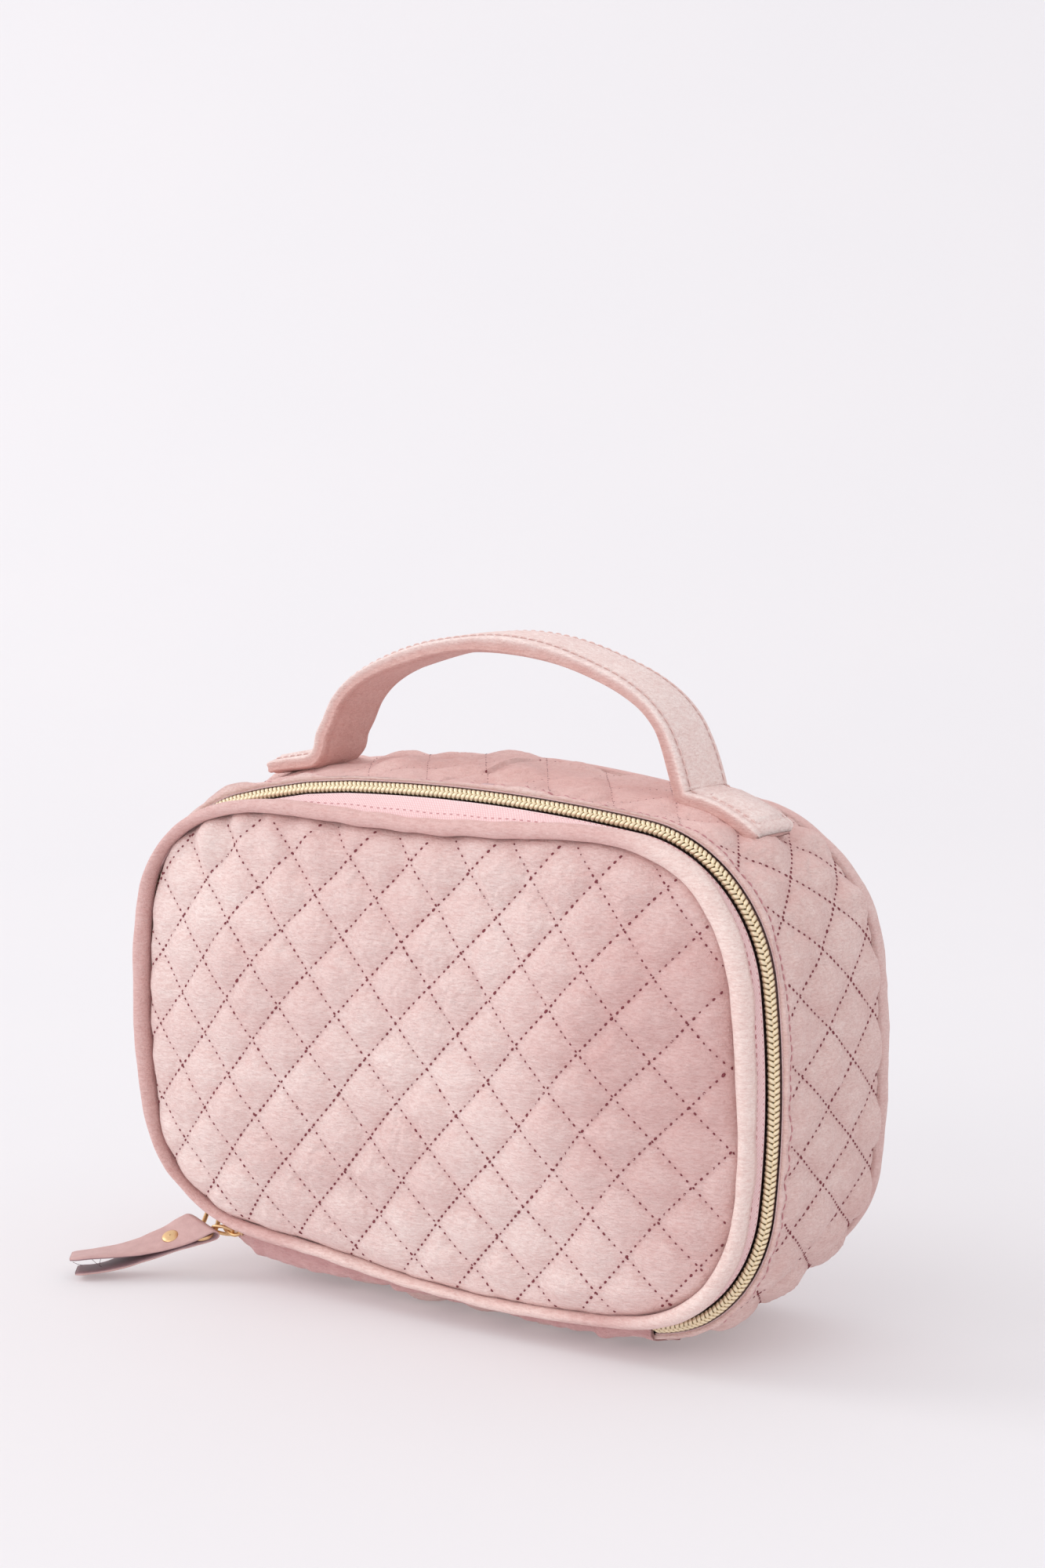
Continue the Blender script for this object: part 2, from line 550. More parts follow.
back = np.stack([BP[..., 0], -36.8 - 8.3 * (1 - (1 - np.clip(dB / 62, 0, 1)) ** 1.9), BP[..., 1]], -1)
P = np.concatenate([back[::-1], front], 0)
n_r = P.shape[0]
V = np.concatenate([P.reshape(-1, 3), P[0].mean(0)[None], P[-1].mean(0)[None]])
i = np.arange(NT)
j = (i + 1) % NT
tri = np.vstack([np.stack([np.full(NT, n_r * NT), j, i], -1), np.stack([np.full(NT, n_r * NT + 1), (n_r - 1) * NT + i, (n_r - 1) * NT + j], -1)])
cr = np.concatenate([np.zeros(back.shape[:2]), crease], 0).ravel()
tone = 0.36 * (0.35 + 0.65 * smooth((V[:, 2] - 26) / 30)) + 0.48 * smooth((V[:, 0] - 30) / 62) + 0.16 * n_big(V[:, 0], 12, V[:, 2]) - 0.22 * smooth((-55 - V[:, 0]) / 45)
lid_quilt = make("lid_quilt", V, quads_of(n_r, NT, False, True), tri, None, {"crease": np.concatenate([cr, [0, 0]]), "tone": np.clip(tone, 0, 1)})


def face_points(ytop, lp, s_in, pitch, seed, flip=1):
    """Needle holes along both families of quilting lines on a face."""
    r = np.random.default_rng(seed)
    out, dirs, rad = [], [], []
    for fam in (0, 1):
        for k in range(-14, 15):
            t = np.arange(-260, 260, pitch)
            t = t + r.normal(size=t.shape) * 0.10
            d = np.array([1 / 22.6, -1 / 21.2]) if fam == 0 else np.array([1 / 22.6, 1 / 21.2])
            d = d / np.hypot(*d)
            x0, z0 = k * 21.2 / 2 - 0.8, (k if fam == 0 else -k) * 22.6 / 2 + 87.5
            x, z = x0 + d[0] * t, z0 + d[1] * t
            x, z = x - 0.55 * n_warp(x, 0, z), z - 0.55 * n_warp(x + 400, 0, z)
            ok = (lp.inside(x, z, s_in) > 1.6) & (np.abs(x) < 125) & (z > -5) & (z < 165)
            x, z = x[ok], z[ok]
            out.append(np.stack([x, z], -1))
            dirs.append(np.broadcast_to(d, (len(x), 2)))
            rad.append(np.full(len(x), 0.38 if fam == 0 else 0.47))
    xz, dd = np.vstack(out), np.vstack(dirs)
    e = 0.4
    y = ytop(xz[:, 0], xz[:, 1])
    yx = (ytop(xz[:, 0] + e, xz[:, 1]) - ytop(xz[:, 0] - e, xz[:, 1])) / (2 * e)
    yz = (ytop(xz[:, 0], xz[:, 1] + e) - ytop(xz[:, 0], xz[:, 1] - e)) / (2 * e)
    N = np.stack([yx, -np.ones_like(y), yz], -1) * flip
    N /= np.linalg.norm(N, axis=1)[:, None]
    P = np.stack([xz[:, 0], y, xz[:, 1]], -1)
    D = np.stack([dd[:, 0], np.zeros(len(dd)), dd[:, 1]], -1)
    return P, N, D, np.concatenate(rad) * np.exp(0.17 * r.normal(size=len(P)))


lid_holes = dots("lid_needle_holes", *face_points(lid_height, PE, 0.0, 2.28, 21))

# ------------------------------------------------------------------ piping round the lid
NP = 880
fp = np.arange(NP) / NP
E1, N1 = PE.at(fp)
thp = np.arctan2(E1[:, 1] - LC[1], E1[:, 0] - LC[0]) % (2 * pi)
th2, r2_ = OE.th, np.linalg.norm(OE.P - LC, axis=1)
ro = np.interp(thp, np.append(th2, 2 * pi), np.append(r2_, r2_[0]))
E2 = LC + ro[:, None] * np.stack([np.cos(thp), np.sin(thp)], -1)
wid = ((E2 - E1) * N1).sum(1)
wid = np.convolve(np.concatenate([wid[-12:], wid, wid[:12]]), np.ones(25) / 25, "valid")
C = E1 + N1 * (wid / 2 - 0.12)[:, None]
hw_p = wid / 2 + 0.30
bot = smooth((30 - C[:, 1]) / 18) * smooth((86 - np.abs(C[:, 0] - 5)) / 25)
a = np.linspace(0, 2 * pi, 28, endpoint=False)
wob = 1 + 0.03 * n_mid(C[:, 0], 9, C[:, 1])[:, None] + 0.018 * n_small(C[:, 0][:, None] * 0.6, 3 * np.cos(a)[None], C[:, 1][:, None] * 0.6)
ca, sa = np.cos(a), np.sin(a)
off = hw_p[:, None] * (np.sign(ca) * np.abs(ca) ** 0.9)[None] * wob
cy = -40.7 + 1.3 * bot + 0.2 * n_mid(C[:, 0], 2, C[:, 1])
G = np.stack([C[:, None, 0] + N1[:, None, 0] * off, cy[:, None] - 3.15 * (np.sign(sa) * np.abs(sa) ** 0.9)[None] * wob, C[:, None, 1] + N1[:, None, 1] * off], -1)
seam = np.exp(-(((a[None] - 3.45 + 0 * fp[:, None]) / 0.25) ** 2)) + 0.8 * np.exp(-(((a[None] - 5.95 + 0 * fp[:, None]) / 0.25) ** 2))
low_lit = smooth((24 - C[:, 1]) / 8) * smooth((60 - np.abs(C[:, 0] - 5)) / 20)
ptone = (1 - smooth((C[:, 0] - 60) / 34)) * (1 - 0.75 * low_lit)
lid_piping = grid("lid_piping_velvet", G, wrap_n=True, wrap_m=True, flip=False, attrs={"crease": np.clip(seam, 0, 1), "tone": np.repeat(ptone[:, None], 28, 1)})


# ------------------------------------------------------------------ zip: tapes, coils, stitching
def around(x_left, x_right, step):
    """Arc lengths of the zip loop from its right end at the bottom, clockwise through nothing: right end up, over the top, to the left end."""
    us = np.arange(0, ZL.per, 0.25)
    pt, _ = ZL.at(us)
    low = pt[:, 1] < 30
    ur = us[low & (pt[:, 0] > 0)][np.argmin(np.abs(pt[low & (pt[:, 0] > 0), 0] - x_right))]
    ul = us[low & (pt[:, 0] < 0)][np.argmin(np.abs(pt[low & (pt[:, 0] < 0), 0] - x_left))]
    # clockwise from top centre: right end at ur, left end at ul > ur; the chain runs from ul up over the top to ur
    a0, a1 = ul - ZL.per, ur
    return np.linspace(a0, a1, int((a1 - a0) / step))


def chain_frame(u):
    pt, n = ZL.at(u)
    n3 = np.stack([n[:, 0], 0 * u, n[:, 1]], -1)
    yy = np.array([0.0, 1.0, 0.0])
    U = (n3 + yy) * math.sqrt(0.5)
    V = (n3 - yy) * math.sqrt(0.5)
    O = warp_body(np.stack([pt[:, 0], np.full(len(u), -34.0), pt[:, 1]], -1))
    return O, U, V, n3


u_all = around(-68, 75, 1.0)
wave = 0.22 * np.sin(2 * pi * u_all / 37) + 0.15 * n_mid(u_all * 1.3, 4, 0)


def strip(name, u, sec, thick, fn):
    """Thin band along the zip loop. sec: (k, 2) points (s, y) of its outer face; thick: offset to the inner face; fn maps (u, s, y) to space."""
    nt = np.gradient(sec, axis=0)
    nt /= np.linalg.norm(nt, axis=1)[:, None]
    nrm = np.stack([-nt[:, 1], nt[:, 0]], -1)
    ring = np.vstack([sec, (sec - nrm * thick)[::-1]])
    Pm = np.stack([fn(u, ring[c, 0], ring[c, 1]) for c in range(len(ring))], 1)
    d = np.concatenate([[0], np.cumsum(np.hypot(*np.diff(ring, axis=0).T))])
    uv = np.stack(np.broadcast_arrays(u[:, None], d[None]), -1)
    return grid(name, Pm, wrap_m=True, caps=True, uv=uv)


def zip_point(u, s_, y_):
    pt, n = ZL.at(u)
    return warp_body(np.stack([pt[:, 0] + n[:, 0] * s_, np.full(len(u), y_), pt[:, 1] + n[:, 1] * s_], -1))


def lid_tape_point(u, s_, y_):
    """From the chain inwards the tape heads for the seam under the piping."""
    A_ = zip_point(u, -1.75, -35.5)
    th_ = np.arctan2(A_[:, 2] - LC[1], A_[:, 0] - LC[0]) % (2 * pi)
    r_ = np.interp(th_, np.append(th2, 2 * pi), np.append(r2_, r2_[0])) - 2.6
    B_ = np.stack([LC[0] + r_ * np.cos(th_), np.full(len(u), -39.4), LC[1] + r_ * np.sin(th_)], -1)
    f = (-1.75 - s_) / 9.25
    dip = 0.35 * math.sin(pi * min(max(f, 0), 1))
    P_ = A_ * (1 - f) + B_ * f
    P_[:, 1] = -35.5 - 3.9 * f + (y_ - (-35.55 - 4.05 * f)) + dip
    return P_


sec_lid = np.array([(-1.75 - 9.25 * k, -35.55 - 4.05 * k) for k in (0, 0.05, 0.14, 0.26, 0.4, 0.55, 0.7, 0.85, 1.0)])
lid_tape = strip("lid_tape_woven", u_all, sec_lid, -0.35, lid_tape_point)
sec_body = np.array([(1.6, -32.6), (1.6, -31.6), (1.5, -30.4), (1.3, -28.0), (1.2, -24.0), (1.2, -19.0)])
u_body = around(-85.5, 75, 1.0)
body_tape = strip("body_tape_woven", u_body, sec_body, 0.3, zip_point)


def coil(name, side, u0, u1, phase):
    """Closed chain: one fat slanting strand per pitch on top, the loops' ends at the outer edge. side -1: lid, +1: body."""
    pitch = 1.58
    k = int((u1 - u0) / pitch)
    u = u0 + (np.arange(k) + phase) * pitch
    O, U, V, n3 = chain_frame(u)
    O2, _, _, _ = chain_frame(u + 0.05)
    T = O2 - O
    T /= np.linalg.norm(T, axis=1)[:, None]
    U = U - (U * T).sum(1)[:, None] * T
    U /= np.linalg.norm(U, axis=1)[:, None]
    V = np.cross(T, U) * -1
    V *= np.sign((V * np.array([0, -1.0, 0])).sum(1))[:, None]
    ts = np.array([0.0, 0.1, 0.3, 0.5, 0.7, 0.86, 0.95, 1.0])
    cu = -0.34 + 1.98 * ts
    hv = np.array([0.34, 0.48, 0.58, 0.58, 0.50, 0.30, 0.02, -0.25])
    sl = -0.95 * (ts - 0.5)
    ra = np.array([0.12, 0.46, 0.62, 0.68, 0.70, 0.68, 0.56, 0.25])
    rb = np.array([0.08, 0.28, 0.40, 0.44, 0.46, 0.44, 0.36, 0.12])
    sides = 8
    a_ = np.linspace(0, 2 * pi, sides, endpoint=False)
    C_ = O[:, None] + U[:, None] * (side * cu)[None, :, None] + V[:, None] * hv[None, :, None] + T[:, None] * sl[None, :, None]
    G_ = C_[:, :, None] + (ra[None, :, None] * np.cos(a_)[None, None])[..., None] * T[:, None, None] + (rb[None, :, None] * np.sin(a_)[None, None])[..., None] * V[:, None, None]
    n_ = len(ts)
    flip_ = side < 0
    q0 = quads_of(n_, sides, False, True, flip=flip_)
    q_ = (q0[None] + (np.arange(k) * n_ * sides)[:, None, None]).reshape(-1, 4)
    fan = np.array([[0, i_, i_ + 1] for i_ in range(1, sides - 1)])
    caps = []
    for off_, rev in ((0, False), ((n_ - 1) * sides, True)):
        f_ = fan if rev == flip_ else fan[:, ::-1]
        caps.append((f_[None] + off_ + (np.arange(k) * n_ * sides)[:, None, None]).reshape(-1, 3))
    return make(name, G_.reshape(-1, 3), q_, np.vstack(caps))


coil_lid = coil("lid_coil_gold", -1, u_all[0], u_all[-1], 0.0)
coil_body = coil("body_coil_gold", 1, u_body[0], u_body[-1], 0.5)


def coil_core(name, side, us_):
    """Lower half of the coil, filled by its cord."""
    O, U, V, _ = chain_frame(us_)
    a_ = np.linspace(0, 2 * pi, 10, endpoint=False)
    cu = side * (0.84 + 0.72 * np.cos(a_))
    cv = -0.22 + 0.42 * np.sin(a_)
    G_ = O[:, None] + U[:, None] * cu[None, :, None] + V[:, None] * cv[None, :, None]
    return grid(name, G_, wrap_m=True, caps=True, flip=side > 0)


core_lid = coil_core("lid_coil_cord", -1, u_all)
core_body = coil_core("body_coil_cord", 1, u_body)


def row(name, A3, B3, r, N3):
    return capsules(name, A3, B3, r, N3 / np.linalg.norm(N3, axis=1)[:, None])


def tape_row(name, s_, pitch, length, r):
    a0 = np.arange(u_all[0], u_all[-1] - pitch, pitch)
    y_ = -35.55 - 4.05 * (-1.75 - s_) / 9.25 - 0.12
    A3, B3 = lid_tape_point(a0, s_, y_), lid_tape_point(a0 + length, s_, y_)
    _, n_ = ZL.at(a0)
    return row(name, A3, B3, r, np.stack([n_[:, 0] * 0.4, np.full(len(a0), -0.9), n_[:, 1] * 0.4], -1))


tape_stitch = tape_row("lid_tape_stitches", -6.4, 2.5, 1.9, 0.22)
coil_stitch_l = tape_row("lid_coil_stitches", -2.6, 1.85, 1.2, 0.16)

# ------------------------------------------------------------------ gusset
NU = 930
us = np.arange(NU) * PER_S / NU  # arc length of the outer skin
scale = ZL.per / PER_S


def skin_u(u):
    """Zip-loop arc length under an outer-skin arc length (offset loops share normals)."""
    return np.interp(u, UT, UV_)


_uu = np.linspace(0, ZL.per, 6001)
_pt, _ = ZL.at(_uu, 3.8)
UT = np.concatenate([[0], np.cumsum(np.hypot(*np.diff(_pt, axis=0).T))])
UT = UT * PER_S / UT[-1]
UV_ = _uu


def gusset_s(u, y, x, z):
    """Offset of the quilted skin from the zip loop."""
    base = lerp(y, [(-33, 3.2), (-29.5, 2.9), (-27, 2.7), (-21, 2.5), (-12, 2.8), (2, 3.2), (14, 2.9), (22, 2.2), (26.4, 1.2)])
    topw = smooth((z - 118) / 28) * smooth((96 - np.abs(x)) / 20)
    base = base + topw * (0.55 * n_big(u, 2, y) + 0.1)
    p, q = pq_gusset(u, y)
    edge = smooth((y + 30.2) / 5) * smooth((26.6 - y) / 5)
    amp = 2.9 * (1 - 0.55 * topw)
    h = puff(p, q) ** 1.2 * amp * (0.25 + 0.75 * edge)
    g = groove(p, q, GAP_G)
    h -= (0.14 - 0.08 * topw) * np.exp(-((g / 1.1) ** 2)) * edge
    # small gathers that run back from the zip seam
    near = np.exp(-np.clip(y + 31, 0, None) / 9.0)
    h += 0.45 * near * np.sin(2 * pi * (u + 6 * n_big(u, 8, 0)) / 9.3) * (0.5 + 0.5 * np.sin(u / 23.0)) * smooth((y + 33) / 3)
    h += topw * 0.45 * n_mid(u * 1.1, 6, y * 0.8)
    h += 0.22 * n_mid(u, 4, y) + 0.035 * n_small(u, 2, y)
    seamdip = 0.9 * np.exp(-(((y - 26.2) / 1.6) ** 2))
    stitchdip = 0.4 * np.exp(-(((y + 30.6) / 0.55) ** 2))
    return base + h - seamdip - stitchdip


ys_main = np.concatenate([[-32.4, -31.9, -31.4, -31.0, -30.6, -30.2, -29.8, -29.4], np.linspace(-29.0, 25.4, 72), [25.8, 26.2]])
pt, nn_g = ZL.at(skin_u(us))


def body_point(pt, nn_, s, y):
    """Point of the bag body at offset s, with slump and floor."""
    x = pt[..., 0] + nn_[..., 0] * s
    z = pt[..., 1] + nn_[..., 1] * s
    return warp_body(np.stack(np.broadcast_arrays(x, y, z), -1))


near_slider = np.exp(-(((pt[:, 0] + 77) / 9.0) ** 4)) * (pt[:, 1] < 40)
rows, crs = [], []
fold = [(1.15, -29.6), (1.35, -31.0), (1.7, -32.0), (2.3, -32.75), (2.95, -32.8)]
for s_, y_ in fold:
    yv = y_ + near_slider * (-29.4 - y_) * 1.0
    rows.append(body_point(pt, nn_g, s_, yv))
    crs.append(np.full(NU, 0.6 if s_ < 1.6 else 0.1))
for y_ in ys_main:
    yv = np.full(NU, y_)
    yv = np.maximum(yv, -32.4 + near_slider * 3.4 + (y_ + 32.4) * 0.05)
    sv = gusset_s(us, yv, pt[:, 0], pt[:, 1])
    rows.append(body_point(pt, nn_g, sv, yv))
    pp, qq = pq_gusset(us, yv)
    ed = smooth((yv + 30.5) / 2)
    c_ = np.exp(-((groove(pp, qq, GAP_G) / 0.9) ** 2)) * ed
    c_ = np.maximum(c_, np.exp(-(((yv + 30.6) / 0.5) ** 2)) * 0.55)
    c_ = np.maximum(c_, np.exp(-(((yv - 26.3) / 1.0) ** 2)))
    crs.append(c_)
inner = [(-0.2, 26.2), (-0.3, 20), (-0.3, 8), (-0.3, -6), (-0.3, -20), (-0.2, -28.6), (0.5, -29.2)]
for s_, y_ in inner:
    rows.append(body_point(pt, nn_g, s_, np.full(NU, y_)))
    crs.append(np.zeros(NU))
Gg = np.stack(rows, 1)
uvg = np.stack(np.broadcast_arrays(us[:, None], np.linspace(0, 70, Gg.shape[1])[None]), -1)
gusset = grid("gusset_quilt", Gg, wrap_n=True, wrap_m=True, flip=True, attrs={"crease": np.stack(crs, 1)})


def gusset_holes(seed):
    r = np.random.default_rng(seed)
    uu, yy, du, dy = [], [], [], []
    for fam in (0, 1):
        for k in range(-12, 45):
            t = np.arange(0, 62, 2.25 * math.cos(math.atan2(GU, GY)))
            y = -29.0 + t + r.normal(size=t.shape) * 0.1
            u = 164 + GU * (k - (y - 5) / GY) if fam == 0 else 164 + GU * (k + (y - 5) / GY)
            ok = (u >= 0) & (u < PER_S) & (y < 24.2)
            y, u = y[ok], u[ok]
            y = y - 0.5 * n_warp(u * 0.8, 7, y) * np.cos(pi * y / 90)
            ok = y > -29.6
            y, u = y[ok], u[ok]
            uu.append(u)
            yy.append(y)
            du.append(np.full(len(u), (-GU if fam == 0 else GU) / GY))
    u, y, du = np.concatenate(uu), np.concatenate(yy), np.concatenate(du)

    def surf(u, y):
        p_, n_ = ZL.at(skin_u(u % PER_S))
        return body_point(p_, n_, gusset_s(u % PER_S, y, p_[:, 0], p_[:, 1]), y), n_

    P0, n_ = surf(u, y)
    e = 0.4
    Pu, Py = surf(u + e, y)[0] - surf(u - e, y)[0], surf(u, y + e)[0] - surf(u, y - e)[0]
    N = np.cross(Pu, Py)
    ln = np.linalg.norm(N, axis=1)
    ref = np.stack([n_[:, 0], 0 * u, n_[:, 1]], -1)
    N = N / ln[:, None] * np.sign((N * ref).sum(1))[:, None]
    D = Pu * du[:, None] + Py
    ok = (P0[:, 2] > 1.2) & (ln > 1e-6)
    rad = 0.48 * np.exp(0.16 * r.normal(size=len(ok))) * (1 - 0.55 * smooth((N[:, 2] - 0.75) / 0.2))
    P0 = P0 - N * (0.16 * smooth((N[:, 2] - 0.75) / 0.2))[:, None]
    return P0[ok], N[ok], D[ok], rad[ok]


gusset_dots = dots("gusset_needle_holes", *gusset_holes(31))
a0 = np.arange(0, PER_S - 2.7, 2.7)


def skin_pts(u, y):
    p_, n_ = ZL.at(skin_u(u % PER_S))
    return body_point(p_, n_, gusset_s(u % PER_S, np.full(len(u), y), p_[:, 0], p_[:, 1]), np.full(len(u), y)), np.stack([n_[:, 0], 0 * u, n_[:, 1]], -1)


A3, N3 = skin_pts(a0, -30.6)
B3, _ = skin_pts(a0 + 2.1, -30.6)
mid_low = (A3[:, 2] > 9) | (np.abs(A3[:, 0]) > 78)
keep = mid_low & (np.abs(A3[:, 0] + 77) > 9)
gusset_topstitch = capsules("gusset_topstitch", A3[keep] + 0.12 * N3[keep], B3[keep] + 0.12 * N3[keep], 0.24, N3[keep])

# ------------------------------------------------------------------ back panel
NB = 760
ub = np.arange(NB) * PER_S / NB
ptb, nb = ZL.at(skin_u(ub))


def back_point(E, nrm, d, u):
    """Back skin at distance d inwards from the seam outline."""
    x = E[:, 0] - nrm[:, 0] * d
    z = E[:, 1] - nrm[:, 1] * d
    return x, z


def back_y(x, z):
    d = np.clip(ZL.inside(x, z, 1.2), 0, None)
    al = np.clip(1 - d / 10.5, 0, 1)
    rim = 10.0 * np.sqrt(np.clip(1 - al**2, 0, 1))
    r2 = x**2 + (z - ZIP[2]) ** 2
    crown = 4.8 * (1 - np.clip(r2 / 118**2, 0, 1))
    p, q = pq_face(x, z)
    edge = smooth(d / 5)
    h = puff(p, q) ** 1.2 * 2.1 * (0.25 + 0.75 * edge) - 0.14 * np.exp(-((groove(p, q, GAP_F) / 1.1) ** 2)) * edge
    h += 0.3 * n_mid(x, 40, z) * edge + 0.6 * n_big(x, 45, z) * edge + 0.05 * n_small(x, 40, z)
    return 26.6 + rim + crown * smooth(d / 30) + h * smooth(d / 4)


E_b, _ = ZL.at(skin_u(ub), 1.2)
cc = np.array([0.0, ZIP[2]])
rows, crs = [], []
for al in np.linspace(0, pi / 2, 13)[:-1]:
    d = 10.5 * (1 - math.cos(al))
    xz = E_b - nb * d
    bul = 1.3 * math.sin(al) * math.cos(al) * 2
    x_, z_ = xz[:, 0] + nb[:, 0] * bul, xz[:, 1] + nb[:, 1] * bul
    y_ = back_y(xz[:, 0], xz[:, 1])
    rows.append(warp_body(np.stack([x_, y_, z_], -1)))
    p_, q_ = pq_face(xz[:, 0], xz[:, 1])
    crs.append(np.maximum(np.exp(-((groove(p_, q_, GAP_F) / 1.5) ** 2)) * smooth(d / 3), math.exp(-((d / 0.6) ** 2)) + 0 * x_))
E_i = E_b - nb * 10.5
for t in (np.arange(78) / 77.6):
    xz = cc + (E_i - cc) * (1 - t)
    y_ = back_y(xz[:, 0], xz[:, 1])
    rows.append(warp_body(np.stack([xz[:, 0], y_, xz[:, 1]], -1)))
    p_, q_ = pq_face(xz[:, 0], xz[:, 1])
    crs.append(np.exp(-((groove(p_, q_, GAP_F) / 1.5) ** 2)))
inner_rows = []
for d, y_ in ((0.0, 26.4), (3.0, 27.5), (8.0, 33.0), (20.0, 36.0)):
    xz = E_b - nb * (d + 1.4)
    inner_rows.append(warp_body(np.stack([xz[:, 0], np.full(NB, y_), xz[:, 1]], -1)))
for t in (0.3, 0.6, 0.9):
    xz = cc + (E_i - cc) * (1 - t)
    inner_rows.append(warp_body(np.stack([xz[:, 0], np.full(NB, 37.0), xz[:, 1]], -1)))
P = np.stack(inner_rows[::-1] + rows, 0)
n_r = P.shape[0]
V = np.concatenate([P.reshape(-1, 3), P[0].mean(0)[None], P[-1].mean(0)[None]])
i = np.arange(NB)
j = (i + 1) % NB
tri = np.vstack([np.stack([np.full(NB, n_r * NB), j, i], -1), np.stack([np.full(NB, n_r * NB + 1), (n_r - 1) * NB + i, (n_r - 1) * NB + j], -1)])
cr = np.concatenate([np.zeros(NB * len(inner_rows)), np.stack(crs).ravel(), [0, 0]])
back_quilt = make("back_quilt", V, quads_of(n_r, NB, False, True, flip=False), tri, None, {"crease": cr})
Pd, Nd, Dd, Rd = face_points(lambda x, z: back_y(x, z), ZL, -3.0, 2.25, 22, flip=-1)
Pd = warp_body(Pd)
ok = Pd[:, 2] > 4
back_dots = dots("back_needle_holes", Pd[ok], Nd[ok], Dd[ok], Rd[ok])

# ------------------------------------------------------------------ fabric hinge along the bottom
xs = np.linspace(-77.5, 75.5, 190)
foot = lerp(xs, [(-78, 12.0), (-75, 10.8), (-66, 8.2), (-54, 6.8), (-41, 6.1), (-25, 6.3), (-10, 6.6), (9, 6.0), (35, 4.8), (60, 5.2), (70, 5.8), (76, 6.4)])
th_h = np.arctan2(foot + 6 - LC[1], xs - LC[0]) % (2 * pi)
r_h = np.interp(th_h, np.append(th2, 2 * pi), np.append(r2_, r2_[0]))
lip = LC[1] + r_h * np.sin(th_h)
endf = smooth((xs + 77.5) / 6) * smooth((75.5 - xs) / 4)
wr = 0.45 * n_mid(xs * 1.5, 20, 0) + 0.22 * n_small(xs, 22, 0)
base_in = floor_clamp(np.full(len(xs), 0.6) + np.clip(foot - 4.0, 0, None) * 0.8)
outer_, inner_ = [], []
#      y     weight of foot line, extra z, weight of lip
for y_, wf, ez, wl in ((-21.0, 0.12, 0.0, 0), (-25.0, 0.45, -0.1, 0), (-29.0, 0.78, -0.35, 0), (-32.0, 0.97, -0.45, 0), (-34.0, 1.0, 0.2, 0), (-35.2, 1.0, 1.5, 0), (-35.6, 0.7, 2.0, 0.3), (-35.9, 0.35, 1.0, 0.65), (-36.3, 0.0, 0.6, 1.0), (-37.4, 0.0, 2.2, 1.0)):
    z_ = (1 - wf - wl) * base_in + wf * foot + wl * lip + ez
    yy_ = y_ + wr * (0.3 + 0.7 * (wf if wl == 0 else 0.6)) + (1 - endf) * 1.2
    zz_ = np.maximum(z_ + 0.5 * wr * (wf + wl), 0.15)
    outer_.append(np.stack([xs, yy_, zz_], -1))
    ins = 1.3 if wl > 0 or y_ < -33 else 0.3
    inner_.append(np.stack([xs, yy_ + ins, zz_ + (1.2 if y_ > -35 else 0.2)], -1))
Gh = np.stack(outer_ + inner_[::-1], 1)
hinge = grid("hinge_velvet", Gh, wrap_m=True, caps=True, flip=False, attrs={"crease": np.full(Gh.shape[:2], 0.25)})

# ------------------------------------------------------------------ handle
HX, HY = 6.0, -4.0
half = [(65.2, 156.0), (65.0, 158.5), (62.6, 166.6), (58.4, 173.6), (50.8, 179.8), (38.7, 185.4), (20.0, 190.7), (0.0, 192.6)]


def spline(pts, n):
    """Catmull-Rom through the points."""
    P_ = np.array(pts, float)
    P_ = np.vstack([2 * P_[0] - P_[1], P_, 2 * P_[-1] - P_[-2]])
    out = []
    for k in range(1, len(P_) - 2):
        t = np.linspace(0, 1, 24, endpoint=False)[:, None]
        p0, p1, p2, p3 = P_[k - 1], P_[k], P_[k + 1], P_[k + 2]
        out.append(0.5 * (2 * p1 + (p2 - p0) * t + (2 * p0 - 5 * p1 + 4 * p2 - p3) * t**2 + (3 * p1 - p0 - 3 * p2 + p3) * t**3))
    out.append(P_[-2][None])
    o = np.vstack(out)
    d = np.concatenate([[0], np.cumsum(np.linalg.norm(np.diff(o, axis=0), axis=1))])
    t = np.linspace(0, d[-1], n)
    return np.stack([np.interp(t, d, o[:, k]) for k in range(o.shape[1])], -1)


def top_z(x, s):
    uu_ = np.linspace(-140, 140, 2000)
    pp_, _ = ZL.at(uu_, s)
    return np.interp(x, pp_[:, 0], pp_[:, 1])


def on_top(x, lift):
    """Warped top skin of the bag under the handle, at x."""
    xx = np.linspace(x - 12, x + 12, 49)
    P_ = warp_body(np.stack([xx, np.full(49, HY), top_z(xx, 3.4)], -1))
    return float(np.interp(x, P_[:, 0], P_[:, 2])) + lift


def side_path(sign):
    pts = []
    root = -56.6 if sign < 0 else 70.2
    far = (22.0, 18.5, 14.5, 10.5, 6.5) if sign < 0 else (24.5, 20.5, 16.0, 11.5, 7.0)
    for d in far:
        pts.append((root + sign * d, on_top(root + sign * d, 2.3)))
    if sign < 0:
        pts += [(root - 3.6, on_top(root - 3.6, 2.9)), (root - 0.9, on_top(root - 0.9, 5.6)), (root + 0.1, on_top(root, 9.5))]
    else:
        pts += [(root + 3.2, on_top(root + 3.2, 2.1)), (root + 0.9, on_top(root + 0.9, 2.9)), (root + 0.1, on_top(root, 5.2))]
    return pts


